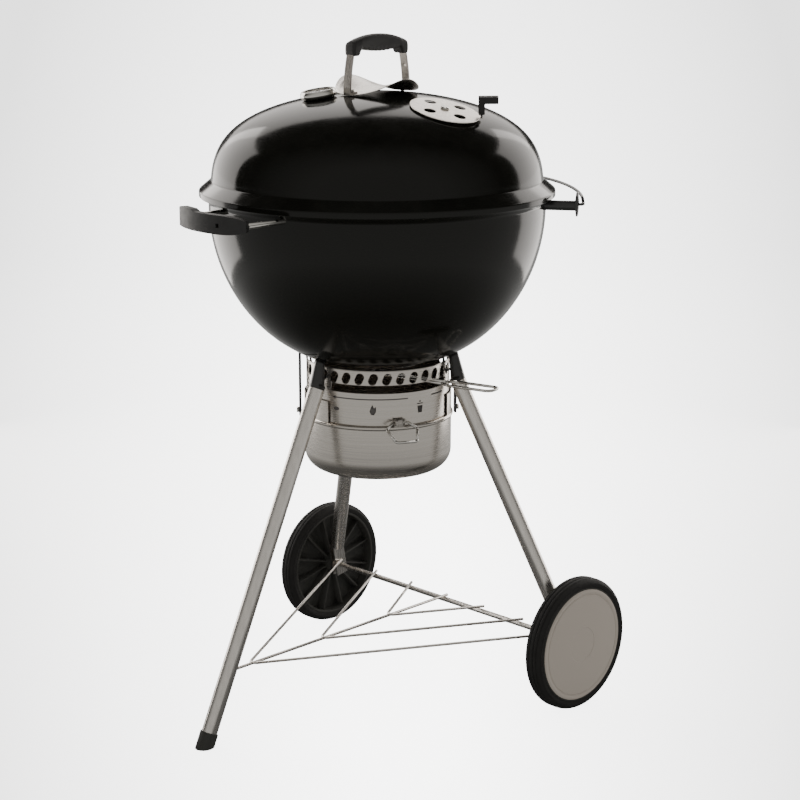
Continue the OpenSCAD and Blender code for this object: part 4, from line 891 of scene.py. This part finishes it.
class GRILL_OT_ash_catcher(bpy.types.Operator):
    """Finish the ash ring, bucket, bail, straps and sweeper"""
    bl_idname = "grill.ash_catcher"
    bl_label = "Ash catcher"

    def execute(self, context):
        finish_node("ash_ring", "stainless", "brushed_stainless", 30)
        finish_node("ash_bucket", "stainless", "brushed_stainless", 30)
        # The beads take the lighter stainless, a painted highlight along each rolled bead.
        for name, body, radius, height, wide, tall in (
                ("bucket_bead", "bucket", 0.1211, 0.4800, 0.0026, 0.0034),
                ("ring_lower_bead", "stand", 0.1172, 0.4812, 0.0012, 0.0012),
                ("ring_upper_bead", "stand", 0.1172, 0.5732, 0.0009, 0.0009)):
            keep(self.hoop(name, radius, height, wide, tall), body, "stainless", "bead_stainless_painted_highlight")
        self.marks()
        finish_node("bail_bracket", "stainless", "strap_stainless", 30, 0.0005)
        finish_node("bucket_bail", "chrome_wire", "bright_chrome")
        for node in ("ring_brackets", "bucket_straps"):
            finish_node(node, "black_steel", "black_paint", 30, 0.0005)
        finish_node("strap_pins", "chrome_wire", "bright_chrome")
        finish_node("sweeper", "blades", "blade_steel", 30)
        finish_node("sweeper_lever", "chrome_wire", "bright_chrome")
        return {"FINISHED"}

    def hoop(self, name, radius, height, wide, tall):
        """A rolled bead round the ring or the bucket"""
        bm = bmesh.new()
        bmesh.ops.create_circle(bm, segments=12, radius=1)
        bmesh.ops.scale(bm, vec=(wide, tall, 1), verts=bm.verts)
        bmesh.ops.rotate(bm, cent=(0, 0, 0), matrix=Matrix.Rotation(math.pi / 2, 3, "X"), verts=bm.verts)
        bmesh.ops.translate(bm, vec=(radius, 0, height), verts=bm.verts)
        bmesh.ops.spin(bm, geom=bm.verts[:] + bm.edges[:], cent=(0, 0, 0), axis=(0, 0, 1),
                       angle=2 * math.pi, steps=144, use_merge=True)
        bmesh.ops.translate(bm, vec=(BOWL_X, 0, 0), verts=bm.verts)
        return shape_to_piece(name, bm, 60)

    def marks(self):
        """The dark signs on the ring: an arrow along the lever's travel, and three plain figures under it"""
        bm = bmesh.new()
        self.strip(bm, -169.5, -110, 40)
        self.strip(bm, -87, -72, 10)
        oval = [(0.0052 * math.cos(t * math.pi / 10), 0.0032 * math.sin(t * math.pi / 10)) for t in range(20)]
        flame = [(-0.0008, 0.0095), (0.0018, 0.0035), (0.0050, 0.0060), (0.0052, -0.0020),
                 (0.0018, -0.0075), (-0.0028, -0.0070), (-0.0052, -0.0015), (-0.0038, 0.0030)]
        pail = [(-0.0050, 0.0050), (0.0050, 0.0050), (0.0036, -0.0065), (-0.0036, -0.0065)]
        cover = [(-0.0056, 0.0008), (0.0056, 0.0008), (0.0056, -0.0008), (-0.0056, -0.0008)]
        knob = [(-0.0016, 0.0010), (0.0016, 0.0010), (0.0016, -0.0010), (-0.0016, -0.0010)]
        for turn, height, outline in (
                (-171, 0.5272, [(0.0040, 0.0026), (-0.0034, 0), (0.0040, -0.0026)]), (-168.5, 0.5085, oval),
                (-138, 0.5095, flame), (-99, 0.5080, pail), (-99, 0.5165, cover), (-99, 0.5200, knob)):
            verts = [bm.verts.new((x, y, 0)) for x, y in outline]
            bm.faces.new(verts)
            self.wrap(verts, turn, height)
        bmesh.ops.solidify(bm, geom=bm.faces[:], thickness=0.0001)
        bmesh.ops.translate(bm, vec=(BOWL_X, 0, 0), verts=bm.verts)
        keep(shape_to_piece("ring_signs", bm, 30, heal=False), "stand", "black_steel", "mark_ink")

    def wrap(self, verts, turn, height):
        """Bends flat points round the ring, about a turn and a height"""
        for vert in verts:
            angle = math.radians(turn) + vert.co.x / SIGN_WRAP
            vert.co = Vector((SIGN_R * math.cos(angle), SIGN_R * math.sin(angle), height + vert.co.y))

    def strip(self, bm, start, end, steps):
        low, high = 0.5262, 0.5282
        made = bmesh.ops.create_grid(bm, x_segments=steps, y_segments=1, size=0.5)["verts"]
        bmesh.ops.scale(bm, vec=(math.radians(end - start) * SIGN_WRAP, high - low, 1), verts=made)
        self.wrap(made, (start + end) / 2, (low + high) / 2)


class GRILL_OT_grates(bpy.types.Operator):
    """Finish the grates inside the bowl"""
    bl_idname = "grill.grates"
    bl_label = "Grates"

    def execute(self, context):
        for node in ("cooking_grate", "left_flap", "right_flap", "grate_centre"):
            finish_node(node, "grate_plated", "plated_wire")
        finish_node("charcoal_grate", "grate_dark", "dull_grate")
        finish_node("grate_lugs", "black_steel", "black_paint")
        return {"FINISHED"}


class GRILL_OT_legs(bpy.types.Operator):
    """Finish the legs, their sockets, shoes, foot and axle"""
    bl_idname = "grill.legs"
    bl_label = "Legs"

    def execute(self, context):
        for node in ("single_leg", "near_leg", "far_leg"):
            finish_node(node, "aluminium_satin", "satin_aluminium")
        finish_node("leg_sockets", "black_steel", "black_paint")
        finish_node("foot_cap", "black_steel", "wheel_plastic", 40, 0.0008)
        for node in ("near_shoe", "far_shoe"):
            soften(finish_node(node, "aluminium_satin", "satin_aluminium", 30), 0.0007, 2)
        finish_node("axle", "aluminium_satin", "satin_aluminium")
        finish_node("axle_nuts", "chrome_wire", "bright_chrome")
        finish_node("wire_rack", "rack_wire", "rack_wire_plating")
        return {"FINISHED"}


TYRE_R, TYRE_WIDTH = 0.1108, 0.034
TYRE_SIDE = 0.001


class GRILL_OT_wheels(bpy.types.Operator):
    """Spin the grooved tyres and the bevelled hub caps, and finish the wheels"""
    bl_idname = "grill.wheels"
    bl_label = "Wheels"

    def execute(self, context):
        for side in ("near", "far"):
            self.tyre(context, side)
            soften(finish_node(side + "_wheel", "wheel_plastic", "wheel_plastic", 35), 0.0008, 2)
            self.cap(side)
        return {"FINISHED"}

    def axle_place(self, side):
        low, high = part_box(side + "_tyre")
        centre = Vector(((low[0] + high[0]) / 2, 0, (low[2] + high[2]) / 2))
        sign = -1 if side == "near" else 1
        inner = (high[1] if side == "near" else low[1]) - sign * TYRE_SIDE
        turn = Matrix.Rotation(math.radians(-90 * sign), 4, "X")
        return Matrix.Translation((centre.x, inner, centre.z)) @ turn

    def tyre(self, context, side):
        sizes = context.scene.grill_wheels
        outer, width = TYRE_R, TYRE_WIDTH
        inner, half, grooved = outer - 0.015, width / 2, 0.62
        points = [(inner, 0.0025), (inner + 0.004, 0.0012), (inner + 0.0075, 0.0010)]
        tread = 40
        for i in range(tread + 1):
            u = -1 + 2 * i / tread
            z = half + (half - TYRE_SIDE) * math.copysign(abs(u) ** 0.9, u)
            r = outer - 0.0135 * abs(u) ** 4.2 * 0.62
            if sizes.tread_grooves and abs(u) < grooved:
                wave = math.cos(u / grooved * math.pi * sizes.tread_grooves)
                r -= sizes.tread_depth * max(0.0, -wave) ** 3
            points.append((r, z))
        points += [(inner + 0.0075, width - 0.0010), (inner + 0.004, width - 0.0012), (inner, width - 0.0025)]
        tyre = spun(side + "_tyre_tread", points, 144, angle=50)
        place(tyre, self.axle_place(side))
        keep(tyre, "wheel_" + side, "tyre", "tyre_rubber", side + "_tyre")

    def cap(self, side):
        r, width = TYRE_R - 0.0176, TYRE_WIDTH
        points = [(0, width - 0.0024), (r - 0.008, width - 0.0024), (r - 0.008, width - 0.005),
                  (r - 0.0055, width - 0.005), (r - 0.0055, width - 0.0019), (r, width - 0.0019)]
        points += [(r - 0.0006, width - 0.0014), (r - 0.0022, width - 0.0004)]
        points += fillet((r, width - 0.0019), (r - 0.003, width), (r - 0.007, width - 0.001), 0.001)
        points += [(r - 0.0066, width - 0.0009), (r - 0.0075, width - 0.0016), (r - 0.0088, width - 0.0016),
                   (r - 0.0098, width - 0.0007), (r - 0.0115, width - 0.0005), (0.0300, width - 0.0003),
                   (0.0290, width - 0.0009), (0, width - 0.0009)]
        cap = spun(side + "_cap_disc", points, 144, angle=28)
        place(cap, self.axle_place(side))
        keep(cap, "wheel_" + side, "cap_grey", "cap_grey", side + "_hub_cap")


OPERATORS = (
    GRILL_OT_studio, GRILL_OT_lid, GRILL_OT_bowl, GRILL_OT_lid_handle, GRILL_OT_damper, GRILL_OT_thermometer,
    GRILL_OT_side_handles, GRILL_OT_lid_holder, GRILL_OT_ash_catcher, GRILL_OT_grates, GRILL_OT_legs,
    GRILL_OT_wheels,
)


class GRILL_PT_build(bpy.types.Panel):
    """Lists the grill's pieces and settings"""
    bl_idname = "GRILL_PT_build"
    bl_label = "Kettle Grill"
    bl_space_type = "VIEW_3D"
    bl_region_type = "UI"
    bl_category = "Grill"

    def draw(self, context):
        column = self.layout.column()
        for group in SETTINGS:
            settings = getattr(context.scene, group)
            for name in settings.__annotations__:
                column.prop(settings, name)
        for operator in OPERATORS:
            column.operator(operator.bl_idname)


SETTINGS = {"grill_kettle": KettleSizes, "grill_wheels": WheelSizes, "grill_finishes": Finishes,
            "grill_studio": StudioSettings}
CLASSES = (*SETTINGS.values(), *OPERATORS, GRILL_PT_build)


def register():
    for cls in CLASSES:
        bpy.utils.register_class(cls)
    for name, group in SETTINGS.items():
        setattr(bpy.types.Scene, name, bpy.props.PointerProperty(type=group))


def unregister():
    for name in SETTINGS:
        delattr(bpy.types.Scene, name)
    for cls in reversed(CLASSES):
        bpy.utils.unregister_class(cls)


def main():
    register()
    for operator in OPERATORS:
        group, name = operator.bl_idname.split(".")
        getattr(getattr(bpy.ops, group), name)()


if __name__ == "__main__":
    main()
